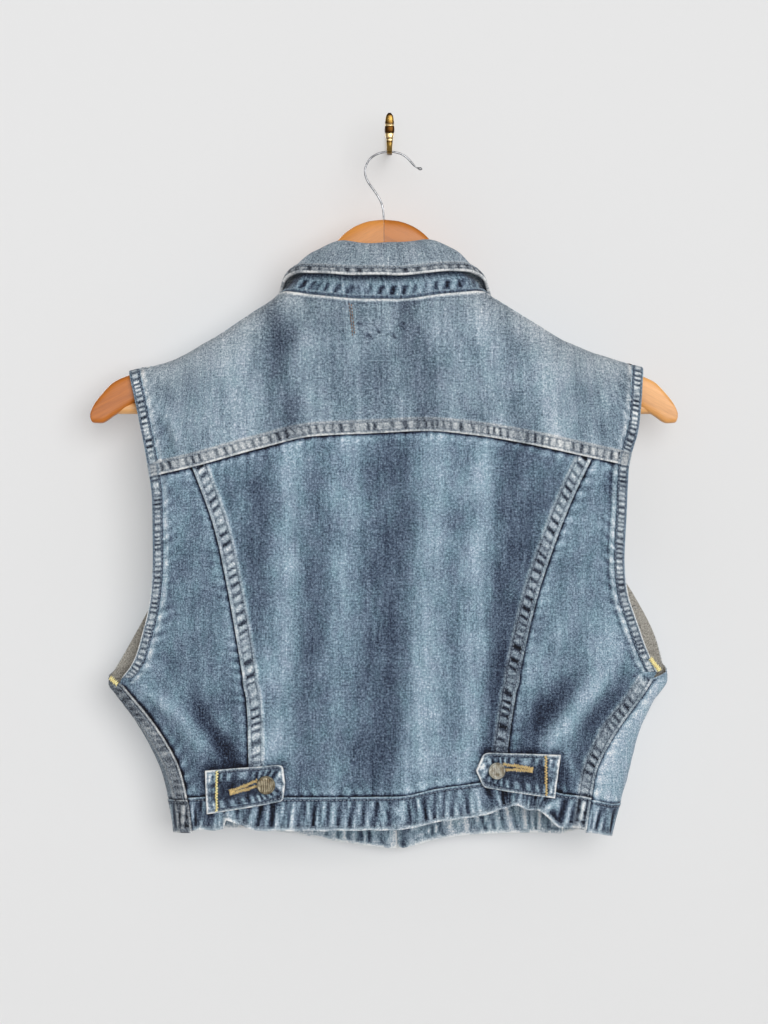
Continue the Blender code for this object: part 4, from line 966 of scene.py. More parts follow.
def back_fields(name, points):
    """Lift, paleness and greyness of a back panel before its edges are sewn."""
    x, _, z = np.moveaxis(points, -1, 0)
    lift = relief(x, z)
    grey = np.zeros_like(x)
    if name == "back_yoke":
        near_neck = bell(back_top(x) - z, 0.0, 0.030)
        near_shoulder = bell(shoulder(x) - z, 0.0, 0.022)
        # The yoke's diagonal bands are fading mixed with painted shade
        tone = worn_and_shaded(x, z, lift) + 0.522 + 0.95 * yoke_fade_and_shade(x + 0.18 * (z + 0.19))
        tone = tone + 0.035 * near_neck + 0.02 * near_shoulder + label_ghost(x, z)
        grey = grey + 0.20 + 0.14 * near_neck + 0.30 * near_shoulder
    elif name == "back_centre":
        # The centre's tone bands, paler towards the top, are fading mixed with painted light and shade of its
        # long folds
        lower = ease((-0.33 - z) / 0.08)
        tone = worn_and_shaded(x, z, lift) + 0.49
        tone = tone + centre_fade_and_shade(x - 0.06 * (z + 0.35)) * (0.75 + 0.25 * ease((-0.24 - z) / 0.10))
        tone = tone + 0.05 * (1 - 2 * lower) * bell(x, -0.034, 0.012) + 0.02 * ease((z + 0.30) / 0.05)
        tone = tone + lower * bells(x, CENTRE_LOW_FADE_AND_SHADE)
        tone = tone + lower * (0.11 * ease((-0.080 - x) / 0.012) - 0.06 * ease((x - 0.074) / 0.012))
        gathers = ripple(x, 0.0105, 17) * np.exp(-np.clip(z - back_band_top(x), 0, None) / 0.016)
        lift = lift + 0.0006 * gathers
        # The gathers are paler on their ridges and darker in their hollows: painted shade
        tone = tone + 0.06 * gathers
    else:
        low_down = ease((-0.405 - z) / 0.03)
        # The side panels' tone also follows their big folds: painted shade with wear
        tone = worn_and_shaded(x, z, 1.3 * lift + 0.7 * folds(FOLDS, x, z)) + 0.49
        tone = tone + (0.04 - 0.145 * low_down if name.endswith("right") else -0.01 - 0.08 * low_down)
    return np.stack([lift, tone - 0.26 * tab_shade(x, z), grey])


def front_fields(points):
    """The front's looks: where it shows round the sides, greyer on the left and paler on the right."""
    x, _, z = np.moveaxis(points, -1, 0)
    lift = 0.0005 * waves(x, z, 0.055, 7) + 0.00012 * waves(x, z, 0.010, 8)
    tone = 0.64 + 30 * lift + 0.03 * waves(x, 0.5 * z, 0.040, 9)
    below_arm = ease((-0.395 - z) / 0.02)
    left_side = ease((-0.135 - x) / 0.02) * below_arm
    right_side = ease((x - 0.145) / 0.02) * below_arm
    return np.stack([lift, tone - 0.16 * left_side + 0.06 * right_side, 0.05 + 0.55 * left_side])


# Back and front panels: their four edges, how they are divided across and down, and the look of each edge
Panel = namedtuple("Panel", "name slot arm_side edges wide tall looks")
under_yoke = raised(yoke_seam, TUCK)
under_back_band = raised(back_band_top, -TUCK)
under_front_band = raised(front_band_top, -TUCK)
front_left_centre = centre_edge(FRONT_EDGE - HALF_GAP, FRONT_LEFT)
front_right_centre = centre_edge(FRONT_EDGE + HALF_GAP, FRONT_RIGHT)
princess_in_left = edge(("princess_left", HALF_GAP))
princess_in_right = edge(("princess_right", -HALF_GAP))
back_down = shares(0.275, 0.0014, 0.0008, 0.006, 0.010)
side_wide = shares(0.080, 0.0021, STRIP_FINE, 0.010, 0.010)
front_down = crested(shares(0.36, 0.0024, 0.0012, 0.0, 0.008), 0.36)
tucks = {"top": "tuck", "bottom": "tuck"}
PANELS = (
    Panel("back_yoke", "denim_pale", None,
          (edge(("armhole_back_left", HALF_GAP)), edge(("armhole_back_right", -HALF_GAP)),
           back_top, raised(yoke_seam, HALF_GAP)),
          shares(0.37, 0.0011), crested(shares(0.095, 0.0021, STRIP_FINE, 0.0, 0.013), 0.105),
          {"left": "pucker", "right": "pucker", "bottom": "yoke"}),
    Panel("back_centre", "denim", None,
          (princess_in_left, princess_in_right, under_yoke, under_back_band),
          shares(0.27, 0.0022, STRIP_FINE, 0.0140, 0.0140), back_down,
          {**tucks, "left": "princess", "right": "princess"}),
    Panel("back_side_left", "denim", "left",
          (edge(("armhole_back_left", HALF_GAP), ("side_left", -TUCK)), edge(("princess_left", TUCK)),
           under_yoke, under_back_band),
          side_wide, back_down, {**tucks, "left": "tuck", "right": "tuck"}),
    Panel("back_side_right", "denim", "right",
          (edge(("princess_right", -TUCK)),
           edge(("armhole_back_right", -HALF_GAP), ("side_right", -HALF_GAP)),
           under_yoke, under_back_band),
          side_wide, back_down, {**tucks, "left": "tuck", "right": "side"}),
    Panel("front_left", "denim", "right",
          (front_left_centre, edge(("armhole_front_left", -HALF_GAP), ("side_left", -HALF_GAP)),
           front_top, under_front_band),
          shares(0.25, 0.0050, STRIP_FINE, 0.0, 0.013), front_down,
          {"bottom": "tuck", "right": "side_front"}),
    Panel("front_right", "denim", "left",
          (edge(("armhole_front_right", HALF_GAP), ("side_right", -TUCK)), front_right_centre,
           front_top, under_front_band),
          shares(0.25, 0.0050, STRIP_FINE, 0.010, 0.0), front_down, {"bottom": "tuck", "left": "tuck"}),
)
for panel in PANELS:
    points = patch(*panel.edges, panel.wide, panel.tall)
    on_front = panel.name.startswith("front")
    fields = front_fields(points) if on_front else back_fields(panel.name, points)
    under_arm = UNDERARM_LEFT if panel.name.endswith("left") else UNDERARM_RIGHT
    below_arm = ease((under_arm + 0.003 - points[..., 2]) / 0.006)
    for k, (side, look) in enumerate(panel.looks.items()):
        d, s = rim(points, side)
        if look == "pucker":
            part = puckered(d, s, 60 + k) * PUCKER_SHARE
        else:
            part = tucked(d, s, 60 + k) if look == "tuck" else felled(d, s, STRIPS[look])
        if side == panel.arm_side:
            along_arm = puckered(d, s, 66 + k, SHADOW_BESIDE_ARMHOLE_BAND.get(panel.name, 0.0))
            part = part * below_arm + (1 - below_arm) * along_arm
        fields = fields + part
    if panel.name == "back_yoke":
        d, s = rim(points, "top")
        at_neck = ease((NECK_HALF + 0.004 - np.abs(points[..., 0])) / 0.006)
        cord = bell(d, 0.0010, 0.0012) * at_neck
        shadow = bell(d, 0.0030, 0.0010) * at_neck
        fields = fields + np.stack([0.0011 * cord, 0.36 * cord - 0.10 * shadow, 0.35 * cord])
    cloth(panel.name, points, fields, panel.slot)

# Waistband: its three lengths, their edges and how they are divided across
Strap = namedtuple("Strap", "name edges wide")
front_band = (front_band_top, front_hem)
front_wide = shares(0.18, 0.0011)
STRAPS = (
    Strap("waistband_back",
          (edge(("side_left", HALF_GAP)), edge(("side_right", -HALF_GAP)), back_band_top, back_hem),
          shares(0.31, 0.0010)),
    Strap("waistband_front_left",
          (front_left_centre, edge(("side_left", -HALF_GAP)), *front_band), front_wide),
    Strap("waistband_front_right",
          (edge(("side_right", HALF_GAP)), front_right_centre, *front_band), front_wide),
)
band_rows = shares(BAND_HEIGHT, 0.0008)
for k, strap in enumerate(STRAPS):
    points = patch(*strap.edges, strap.wide, band_rows)
    x, _, z = np.moveaxis(points, -1, 0)
    above, s = rim(points, "top")
    below, _ = rim(points, "bottom")
    on_back_band = strap.name == "waistband_back"
    dip = 0.7 * dips(s + 0.16 * above, 0.0098, 71 + 3 * k, 1.2)
    dip = dip + 0.4 * dips(s - 0.10 * above, 0.0063, 72 + 3 * k)
    hollow = ease((above - 0.0020) / 0.003) * ease((below - 0.0010) / 0.003)
    streaks = ripple(s + 0.12 * above, 0.0042, 73 + k)
    lift = BAND_OUT + (0.00012 * streaks - 0.0009 * dip) * hollow + 0.0004 * ripple(s, 0.021, 77 + k)
    lift = lift - 0.0003 * bell(above, 0.0022, 0.0009) - 0.0002 * bell(below, 0.0030, 0.0009)
    tone = 0.49 + (0.25 - 0.76 * dip + 0.12 * streaks) * hollow + 0.06 * ripple(s, 0.034, 81 + k)
    tone = tone + bells(above, BAND_TOP_LINES)
    tone = tone + (0.34 + 0.14 * ripple(s, 0.016, 85 + k)) * bell(below, 0.0, 0.0018)
    grey = 0.10 + 0.35 * bell(below, 0.0, 0.004)
    if on_back_band:
        pleats = folds(PLEATS, x, z)
        lift = lift + pleats
        # Paler on the pleats' ridges and darker in their hollows, painted shade; darker round the tabs and most
        # under the right one, painted shadow
        tone = tone + 80 * pleats - 0.16 * tab_shade(x, z) - 0.06 * bell(x, 0.101, 0.024)
    else:
        left_side = ease((-0.125 - x) / 0.015)
        tone = tone + 0.02 - 0.12 * left_side
        grey = grey + 0.4 * left_side
    fields = np.stack([lift, tone, grey])
    for side in SIDES:
        d, along = rim(points, side)
        if on_back_band or abs(float(TURN_TO[side](x)[0, 0])) > 0.1:
            laps = (on_back_band and side == "right") or strap.name.endswith("left")
            look = STRIPS["side" if on_back_band else "side_front"]
            part = felled(d, along, look) if laps else tucked(d + TUCK, along, 91)
            fields = fields + part * np.array([0.6, 0.8, 0.8])[:, None, None]
        else:
            # Painted shade inside the front end's pale edge
            fields[1] = fields[1] + bells(d, BAND_END_SHADE_LINES)
    fields[2] = np.clip(fields[2], 0, 1)
    cloth(strap.name, points, fields, "denim", DOUBLE_CLOTH, 0.0, 0.16)

# Bands along the armholes: the side of the grid the edge is on, and which way the band lies from it
Armhole = namedtuple("Armhole", "name side inward")
ARMHOLES = (
    Armhole("armhole_back_left", "left", 1),
    Armhole("armhole_back_right", "right", -1),
    Armhole("armhole_front_left", "right", -1),
    Armhole("armhole_front_right", "left", 1),
)
for k, band in enumerate(ARMHOLES):
    ends = [edge((band.name, band.inward * shift)) for shift in (HALF_GAP, ARMHOLE_BAND)]
    lowest = edges[band.name][-1].z
    wide = shares(ARMHOLE_BAND, 0.0006)
    tall = crested(shares(0.235, 0.0008), 0.235)
    points = patch(*ends[:: band.inward], shoulder, at_height(lowest), wide, tall)
    x, _, z = np.moveaxis(points, -1, 0)
    d, s = rim(points, band.side)
    dip = dips(s + 0.12 * d, ARMHOLE_PERIOD, 43 + k, 1.2)
    between = stretch(d, 0.0014, 0.0068, 0.0010)
    lift = 0.0001 + 0.0011 * ease((ARMHOLE_BAND + 0.0004 - d) / 0.0030) * (0.75 + 0.25 * ease(d / 0.0012))
    lift = lift - 0.0005 * dip * between - 0.0003 * bell(d, 0.0072, 0.0007)
    uneven = ripple(s, 0.026, 45 + k)
    low_down = ease((-0.32 - z) / 0.03)
    high_up = ease((z + 0.250) / 0.03)
    inside = 0.32 + 0.08 * uneven + 0.10 * high_up - (0.64 + 0.20 * high_up) * dip
    at_edge = 0.16 + 0.40 * low_down
    tone = 0.46 + inside * between + at_edge * bell(d, 0.0002, 0.0009) + bells(d, ARMHOLE_LINES)
    tone = tone + (0.30 + 0.08 * uneven) * bell(d, ARMHOLE_BAND, 0.0010)
    grey = 0.50 * between + 0.15 + 0.5 * low_down * bell(d, 0.0002, 0.0012)
    if "back" in band.name:
        over_seam = z - yoke_seam(x)
        crossing = stretch(over_seam, -0.0004, STRIPS["yoke"].width, 0.0008, 0.0015)
        lift = lift + relief(x, z) + 0.0013 * crossing
        tone = tone * (1 - 0.65 * crossing) + 0.65 * 0.62 * crossing
        # A painted shadow line below the lapping yoke
        tone = tone + bells(over_seam, CROSSING_SHADOW_LINES)
        grey = grey + 0.5 * crossing
    cloth(band.name, points, np.stack([lift, tone, grey]), "denim", CLOTH, 0.8)

# Placket down the middle of the front
points = patch(
    centre_edge(FRONT_EDGE + PLACKET_WIDTH / 2, FRONT_LEFT),
    centre_edge(FRONT_EDGE - PLACKET_WIDTH / 2, FRONT_LEFT),
    raised(front_neck, -PLACKET_BELOW_NECK),
    raised(front_hem, GAP),
    shares(PLACKET_WIDTH, 0.0010),
    shares(0.345, 0.0024),
)
fields = front_fields(points)
for side in SIDES:
    d, s = rim(points, side)
    dip = dips(s, 0.0072, 97) * stretch(d, 0.0015, 0.0085, 0.002)
    fields[0] = fields[0] - 0.0004 * dip
    fields[1] = fields[1] + 0.24 * bell(d, 0.0, 0.0012) - 0.22 * dip
fields[0] = fields[0] + DOUBLE_CLOTH + BAND_OUT + GAP
cloth("placket", points, fields, "denim", DOUBLE_CLOTH, 0.15, 0.10)


def tab_outline(tab, a, b):
    """Places across and heights on a tab: a runs from left to right and b from the top down."""
    run = tab.head - tab.tail
    along = a if run > 0 else 1 - a
    edgewise = np.abs(2 * b - 1)
    corner = np.clip((edgewise - 0.78) / 0.22, 0, 1)
    rounding = TAB_CORNER * (1 - np.sqrt(1 - corner**2)) * ease((along - 0.6) / 0.4)
    point = tab.point * along * (1 - edgewise) - rounding
    high, low = tab_sides(tab, along)
    x = tab.tail + run * along + point * np.sign(run) + tab.slant * (b - 0.5) * (1 - along)
    return x, high + (low - high) * b


def on_back(x, z, height):
    """Points over the back's form, and the way out from it."""
    step = 1e-4
    at = body(angle_at(x, z, BACK), z)
    aside = body(angle_at(x + step, z, BACK), z) - at
    upward = body(angle_at(x, z + step, BACK), z + step) - at
    normal = unit(np.cross(aside, upward))
    return at + normal * np.asarray(height)[..., None], normal


# Waist tabs
for tab in TABS:
    x, z = tab_outline(tab, shares(0.058, 0.0006)[None, :], shares(0.033, 0.0006)[:, None])
    points = body(angle_at(x, z, BACK), z)
    rims = {side: rim(points, side) for side in TURN_TO}
    nearest = np.min([d for d, _ in rims.values()], axis=0)
    lift = TAB_HEIGHT + bells(nearest, TAB_SINKS)
    lift = lift + 0.0003 * waves(x, z, 0.016, 103)
    tone = 0.19 + 0.06 * waves(x, z, 0.009, 101) + bells(nearest, TAB_LINES)
    for k, side in enumerate(("top", "bottom")):
        d, s = rims[side]
        bars = (1 - dips(s + 0.2 * d, 0.0064, 61 + k)) ** 2.2
        inside = stretch(d, 0.0026, 0.0105, 0.0015, 0.004)
        lift = lift + 0.0003 * (bars - 0.5) * inside
        tone = tone + (0.46 * bars - 0.05) * inside
    tail = ease((np.abs(x - tab.head) - abs(tab.bar - tab.head) - 0.0008) / 0.001)
    rungs = 1 - dips(rims["left"][1], 0.0056, 65, 1.0)
    tone = tone + (0.05 + 0.26 * rungs) * tail
    fields = np.stack([lift, tone, 0.12 + 0.5 * bell(nearest, 0.0, 0.002)])
    cloth("tab_" + tab.name, points, fields, "denim", DOUBLE_CLOTH, 0.3)

# Collar stand and fall, round the neck from the right front over the back to the left front
turn = np.linspace(-COLLAR_END, COLLAR_END, COLLAR_STEPS)
turns = np.abs(turn)
sides = np.where(turn < 0, -1.0, 1.0)
height, lean, drop, out, spread = (curve(turns) for curve in curves(COLLAR))
still = np.zeros_like(turns)
outward = np.stack([np.sin(turns * np.pi) * sides, -np.cos(turns * np.pi), still], axis=-1)
up = np.array([0.0, 0.0, 1.0])
neck_x = NECK_HALF * outward[:, 0]
behind_neck = turns < 0.5
neck_z = np.where(behind_neck, back_neck(neck_x), front_neck(neck_x))
neck_angle = angle_at(neck_x, neck_z, BACK)
neck = body(np.where(behind_neck, neck_angle, sides * np.pi - neck_angle), neck_z)
roll = neck + up * height[:, None] - outward * lean[:, None]
tip = roll + outward * out[:, None] - up * drop[:, None] + np.stack([spread * sides, still, still], axis=-1)
under_roll = ROLL_RADIUS + 4 * GAP + FRONT_ROLL_CLEAR * ease((turns - 0.35) / 0.15)
under_roll = under_roll + SIDE_ROLL_CLEAR * bell(turns, 0.55, 0.08)
stand_top = roll - outward * (ROLL_RADIUS - STAND_CLOTH) - up * under_roll[:, None]
base = neck + up * GAP
rise = np.linspace(1, 0, STAND_STEPS)[:, None, None]
stand = base[None] + (stand_top - base)[None] * rise
stand = stand + outward[None] * STAND_BOW * height[None, :, None] * np.sin(rise * np.pi)
d, s = rim(stand, "bottom")
dip = dips(s - 0.45 * d, 0.0095, 111, 1.6)
inside = stretch(d, 0.0022, 0.0115, 0.0022, 0.0030)
spots = (0.5 + 0.5 * np.cos(2 * np.pi * (s - 0.25 * d) / 0.0088)) ** 2
tone = 0.60 + (0.08 - 0.46 * dip - 0.26 * spots) * inside + 0.06 * ripple(s + 0.3 * d, 0.0046, 113)
# Painted shadow under the fall's lower edge; the stand is also darker at its foot
tone = tone - 0.38 * bell(d, 0.0008, 0.0009) - 0.36 * bell(d, (height - drop)[None], 0.0034)
fields = np.stack([-0.0007 * dip * inside, tone, np.full_like(tone, 0.10)])
cloth("collar_stand", stand, fields, "denim_pale", STAND_CLOTH, 0.2, run=s)

fall_rows = []
for bend in np.linspace(np.pi / 2, 0, ROLL_STEPS)[:-1]:
    fall_rows.append(roll - ROLL_RADIUS * (outward * math.sin(bend) + up * (1 - math.cos(bend))))
bow = roll + outward * out[:, None] * FALL_BOW
for t in shares(0.035, 0.0011, 0.0006, 0.0, 0.007):
    fall_rows.append(roll * (1 - t) ** 2 + bow * 2 * t * (1 - t) + tip * t * t)
fall = np.stack(fall_rows)
x, _, z = np.moveaxis(fall, -1, 0)
behind = fall[..., 1] < 0
lie_angle = angle_at(x, z, BACK)
lie_angle = np.where(behind, lie_angle, np.where(x < 0, -np.pi, np.pi) - lie_angle)
lie = np.abs(body(lie_angle, z)[..., 1]) + FALL_CLEAR
neck_line = np.where(behind, back_top(x), front_top(x))
resting = ease((shoulder(x) - z) / FALL_REST_RUN) * ease((neck_line - z) / FALL_REST_RUN)
own = np.abs(fall[..., 1])
pushed = (own + lie + np.sqrt((own - lie) ** 2 + FALL_REST_SOFT**2)) / 2
deep = own + (pushed - own) * resting
fall[..., 1] = np.where(behind, -deep, deep)
d, s = rim(fall, "bottom")
fields = felled(d, s, STRIPS["collar"])
fields[0] = fields[0] + 0.0004 * waves(x, z, 0.030, 121) - 0.0003 * bell(d, 0.0052, 0.0008)
fields[1] = fields[1] + 0.58 + 0.03 * waves(x, z, 0.018, 122)
fields[1] = fields[1] + bells(d, FALL_LINES)
fields[2] = np.clip(fields[2] + 0.50, 0, 1)
cloth("collar_fall", fall, fields, "denim_pale", DOUBLE_CLOTH, 0.0, run=s)


def threads(name, parts, material, slot="denim", radius=THREAD, rise=1.2):
    """Short threads, each arched up out of its cloth, from parts of starts, ends and ways out."""
    starts, ends, ways_out = (np.concatenate(column) for column in zip(*parts))
    run = ends - starts
    beside = unit(np.cross(unit(run), ways_out))
    above = np.cross(beside, unit(run))
    rings = []
    for along, lift, size in THREAD_RINGS:
        centre = starts + run * along + above * radius * lift * rise
        for angle in around(THREAD_SIDES):
            rings.append(centre + (beside * math.cos(angle) + above * math.sin(angle)) * radius * size)
    per = len(rings)
    shift = (np.arange(len(starts)) * per)[:, None, None]
    caps = np.array([range(THREAD_SIDES), range(per - 1, per - THREAD_SIDES - 1, -1)])
    faces = (quads(len(THREAD_RINGS), THREAD_SIDES, True)[None] + shift).reshape(-1, 4).tolist()
    faces += (caps[None] + shift).reshape(-1, THREAD_SIDES).tolist()
    return place_object(name, smooth_mesh(name, np.stack(rings, axis=1) + PLACE, faces), material, slot)


def seam_line(name, side, distance):
    """Points and ways out along a cloth's edge, at a distance in from it."""
    made = made_cloth[name]
    d, points, normals = (TURN_TO[side](grid) for grid in (rim(made.points, side)[0], *made))
    rows = np.arange(len(d))
    at = np.clip(np.argmax(d > distance, axis=1), 1, None)
    share = ((distance - d[rows, at - 1]) / (d[rows, at] - d[rows, at - 1]))[:, None]
    return points[rows, at - 1] * (1 - share) + points[rows, at] * share, normals[rows, at]


def stitches(line, ways_out, pitch=STITCH):
    """The start, end and way out of each stitch along a line."""
    arc = distances(line)
    begin = np.arange(pitch / 2, arc[-1] - pitch, pitch)

    def at(values, places):
        return np.stack([np.interp(places, arc, values[:, k]) for k in range(3)], axis=-1)

    return at(line, begin), at(line, begin + pitch * STITCH_SHARE), at(ways_out, begin)


# Rows of stitches: the cloth, the edge they follow, how far in, and the height below which they run
Row = namedtuple("Row", "name side distance below", defaults=(0.0,))
ROWS = [Row("back_yoke", "bottom", distance) for distance in YOKE_ROWS]
for strap in STRAPS:
    ROWS += [Row(strap.name, side, distance) for side, distance in BAND_ROWS.items()]
for name, under_arm in (("back_side_right", UNDERARM_RIGHT), ("front_left", UNDERARM_LEFT)):
    for distance, lower in zip(SIDE_ROWS, (0.0, SECOND_ROW_LOWER)):
        ROWS.append(Row(name, "right", distance, under_arm - lower))
ROWS += [Row("placket", side, PLACKET_ROW) for side in SIDES]
ROWS += [Row("collar_fall", "bottom", FALL_ROW), Row("collar_stand", "bottom", STAND_ROW)]
ROWS += [Row("back_centre", side, distance) for side in SIDES for distance in CENTRE_ROWS]
ROWS += [Row(band.name, band.side, distance) for band in ARMHOLES for distance in ARMHOLE_ROWS]
ROWS += [Row("tab_" + tab.name, side, TAB_ROW) for tab in TABS for side in TURN_TO]
sewn = {}
for row in ROWS:
    line, ways_out = seam_line(row.name, row.side, row.distance)
    kept = line[:, 2] < row.below
    sewn.setdefault(row.name, []).append(stitches(line[kept], ways_out[kept]))
for name, parts in sewn.items():
    threads("stitches_" + name, parts, tonal_thread)


def zigzag(start, end, satin):
    """Satin stitches to and fro across a line on the back, as starts, ends and ways out."""
    rng = np.random.default_rng(SATIN_SEED)
    start = np.array(start)
    run = np.array(end) - start
    length = np.linalg.norm(run)
    aside = np.array([-run[1], run[0]]) / length * satin.width / 2
    count = int(length / satin.pitch)
    places = start + run * np.linspace(0, 1, count + 1)[:, None]
    ways = np.where(np.arange(count + 1) % 2 == 0, 1.0, -1.0)[:, None]
    corners = places + aside * ways * (1 + satin.uneven * rng.uniform(-1, 1, (count + 1, 1)))
    points, normals = on_back(corners[:, 0], corners[:, 1], np.full(count + 1, satin.lift))
    return points[:-1], points[1:], normals[:-1]


# Bars across the tabs, golden buttonholes that widen towards their buttons, and bar tacks under the arms
bar_threads = {"left": yellow_thread, "right": gold_thread}
for tab in TABS:
    high, low = tab_sides(tab, (tab.bar - tab.tail) / (tab.head - tab.tail))
    bar = zigzag((tab.bar, high - BAR_SHORT), (tab.bar, low + BAR_SHORT), TAB_BAR)
    threads("tab_bar_" + tab.name, [bar], bar_threads[tab.name], radius=TAB_BAR.radius, rise=TAB_BAR.rise)
    start = np.array(tab.hole_from)
    end = np.array(tab.hole_to)
    way = unit(end - start)
    aside = np.array([-way[1], way[0]])
    rows = [(start + aside * k, end + HOLE_WIDENS * aside * k) for k in (-HOLE_HALF, HOLE_HALF)]
    parts = [zigzag(*row, HOLE_SIDE) for row in rows]
    parts.append(zigzag(start - aside * HOLE_END_HALF, start + aside * HOLE_END_HALF, HOLE_END))
    threads("buttonhole_" + tab.name, parts, gold_thread, radius=HOLE_SIDE.radius, rise=HOLE_SIDE.rise)
for tack in TACKS:
    bar = zigzag(tack.start, tack.end, TACK_BAR)
    threads("tack_" + tack.name, [bar], yellow_thread, radius=TACK_BAR.radius, rise=TACK_BAR.rise)

# Ends of brown thread left where the sewn-on square was
ghost_parts = []
for start, end in GHOST_ROWS:
    share = np.linspace(0, 1, GHOST_POINTS)[:, None]
    places = np.array(start) * (1 - share) + np.array(end) * share
    line, ways_out = on_back(places[:, 0], places[:, 1], np.full(GHOST_POINTS, GHOST_LIFT))
    ghost_parts.append(stitches(line, ways_out, GHOST_STITCH))
threads("ghost_stitches", ghost_parts, brown_thread, "denim_pale", GHOST_THREAD)


def metal(name, bright, deep, roughness, spot, heights=None):
    """Aged metal: paler where rubbed and darker in patches, or coloured by height with painted glints and
    reflections.
    """
    material, tree, shader = surface_of(name, roughness, 1.0)
    where = node(tree, "ShaderNodeTexCoord").outputs["Object"]
    patches = noise(tree, where, (spot, spot, spot), 4.0, 0.6)
    stops = ((0.36, deep), (0.62, bright))
    if heights:
        low, high = heights[0][0], heights[-1][0]
        stops = tuple(((z - low) / (high - low), colour) for z, colour in heights)
        height = node(tree, "ShaderNodeSeparateXYZ", {"Vector": where}).outputs["Z"]
        patches = ranged(tree, about_middle(tree, patches, spot / 2, height), from_min=low, from_max=high)
    tree.links.new(ramp(tree, patches, stops), shader.inputs["Base Color"])
    fine = noise(tree, where, (spot / 6, spot / 6, spot / 6), 2.0)
    rough = ranged(tree, fine, to_min=roughness - 0.08, to_max=roughness + 0.12)
    tree.links.new(rough, shader.inputs["Roughness"])
    bump(tree, shader, fine, 0.00005, 0.5)
    return material


button_looks = {
    "left": metal("button_brown", srgb(156, 148, 127), srgb(101, 89, 70), 0.42, 0.0030),
    "right": metal("button_pale", srgb(180, 178, 168), srgb(126, 117, 99), 0.40, 0.0030),
}
wire_look = metal("plated_wire", srgb(186, 187, 190), srgb(120, 121, 124), 0.30, 0.004)
brass_look = metal("hook_brass", BRASS_GLINT, BRASS_DARK_REFLECTION_AND_PATINA, 0.26, 0.0030, BRASS_GLINT_BANDS)


def button(name, place, way_out, radius, ribs, look):
    """A shank button: a rolled rim round a sunk face, with ribs across it or turned rings on it."""
    angle = around(BUTTON_SPOKES)
    disc = np.stack([np.cos(angle), np.sin(angle)], axis=-1) * radius
    share = np.linspace(0, 1, BUTTON_RINGS)[:, None] + 0 * angle[None, :]
    face = disc[None] * share[..., None]
    if ribs:
        swell = 0.00022 * np.cos(2 * np.pi * face[..., 0] / ribs)
    else:
        swell = 0.00012 * np.cos(10 * np.pi * share)
    high = 0.0022 + 0.0007 * bell(share, 0.90, 0.09) + 0.0005 * (1 - share**2)
    high = high + swell * ease((0.84 - share) / 0.06)
    rings = [np.column_stack([*level.T, top]) for level, top in zip(face[1:], high[1:])]
    rings += [np.column_stack([*(disc * size).T, np.full(BUTTON_SPOKES, top)]) for size, top in BUTTON_UNDER]
    spokes = np.arange(BUTTON_SPOKES)
    middle = len(rings) * BUTTON_SPOKES
    faces = quads(len(rings), BUTTON_SPOKES, True).tolist()
    faces += [(middle, int(k), int(k + 1) % BUTTON_SPOKES) for k in spokes]
    faces.append(tuple(int(k) for k in middle - 1 - spokes))
    points = np.concatenate([*rings, [[0.0, 0.0, float(high[0, 0])]]])
    turn_to = np.array(Vector((0, 0, 1)).rotation_difference(Vector(way_out)).to_matrix())
    mesh = smooth_mesh(name, points @ turn_to.T + np.asarray(place) + PLACE, faces)
    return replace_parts(place_object(name + "_metal", mesh, look, "button_metal"), name)


for tab in TABS:
    seat, way_out = on_back(np.float64(tab.button_x), np.float64(tab.button_z), TAB_HEIGHT + GAP)
    button("tab_button_" + tab.name, seat, way_out, tab.radius, BUTTON_RIBS, button_looks[tab.name])
edge_x = np.float64(FRONT_EDGE)
for k, z in enumerate(np.linspace(front_neck(edge_x) - 0.020, front_hem(edge_x) + 0.014, FRONT_BUTTONS)):
    seat = body(angle_at(edge_x, z, FRONT_RIGHT), z) + np.array([0, BAND_OUT + DOUBLE_CLOTH + 3 * GAP, 0])
    button(f"front_button_{k + 1}", seat, (0.0, 1.0, 0.0), FRONT_BUTTON_RADIUS, 0.0, button_looks["right"])


def wood(name, near, far, grain_way):
    """Varnished wood with grain along the arm, its colour changing from the middle to the tip, which is painted
    light and shade besides the wood's own colour.
    """
    material, tree, shader = surface_of(name, 0.40, **{"Coat Weight": 0.15, "Coat Roughness": 0.22})
    where = node(tree, "ShaderNodeTexCoord").outputs["Object"]
    turned = node(tree, "ShaderNodeMapping", {"Vector": where, "Rotation": (0.0, grain_way, 0.0)}).outputs[0]
    grain = noise(tree, turned, (0.060, 0.0022, 0.0022), 4.0, 0.62)
    rings = noise(tree, turned, (0.110, 0.0090, 0.0090), 2.0, 0.5)
    pores = noise(tree, turned, (0.0060, 0.0005, 0.0005), 2.0, 0.6)
    across_x = node(tree, "ShaderNodeSeparateXYZ", {"Vector": where}).outputs["X"]
    reach = sums(tree, "ABSOLUTE", sums(tree, "SUBTRACT", across_x, float(PLACE[0])))
    base_colour = mixed(tree, ranged(tree, reach, from_min=0.05, from_max=0.20), near, far)
    value = sums(tree, "MULTIPLY_ADD", grain, 0.55, sums(tree, "MULTIPLY", pores, 0.25))
    value = sums(tree, "MULTIPLY_ADD", rings, 0.6, value)
    darker = ramp(tree, value, ((0.48, GRAIN_DARK), (0.78, GRAIN_CLEAR)))
    product = node(tree, "ShaderNodeVectorMath", {0: base_colour, 1: darker}, operation="MULTIPLY").outputs[0]
    tree.links.new(product, shader.inputs["Base Color"])
    bump(tree, shader, pores, 0.00012, 0.35)
    return material


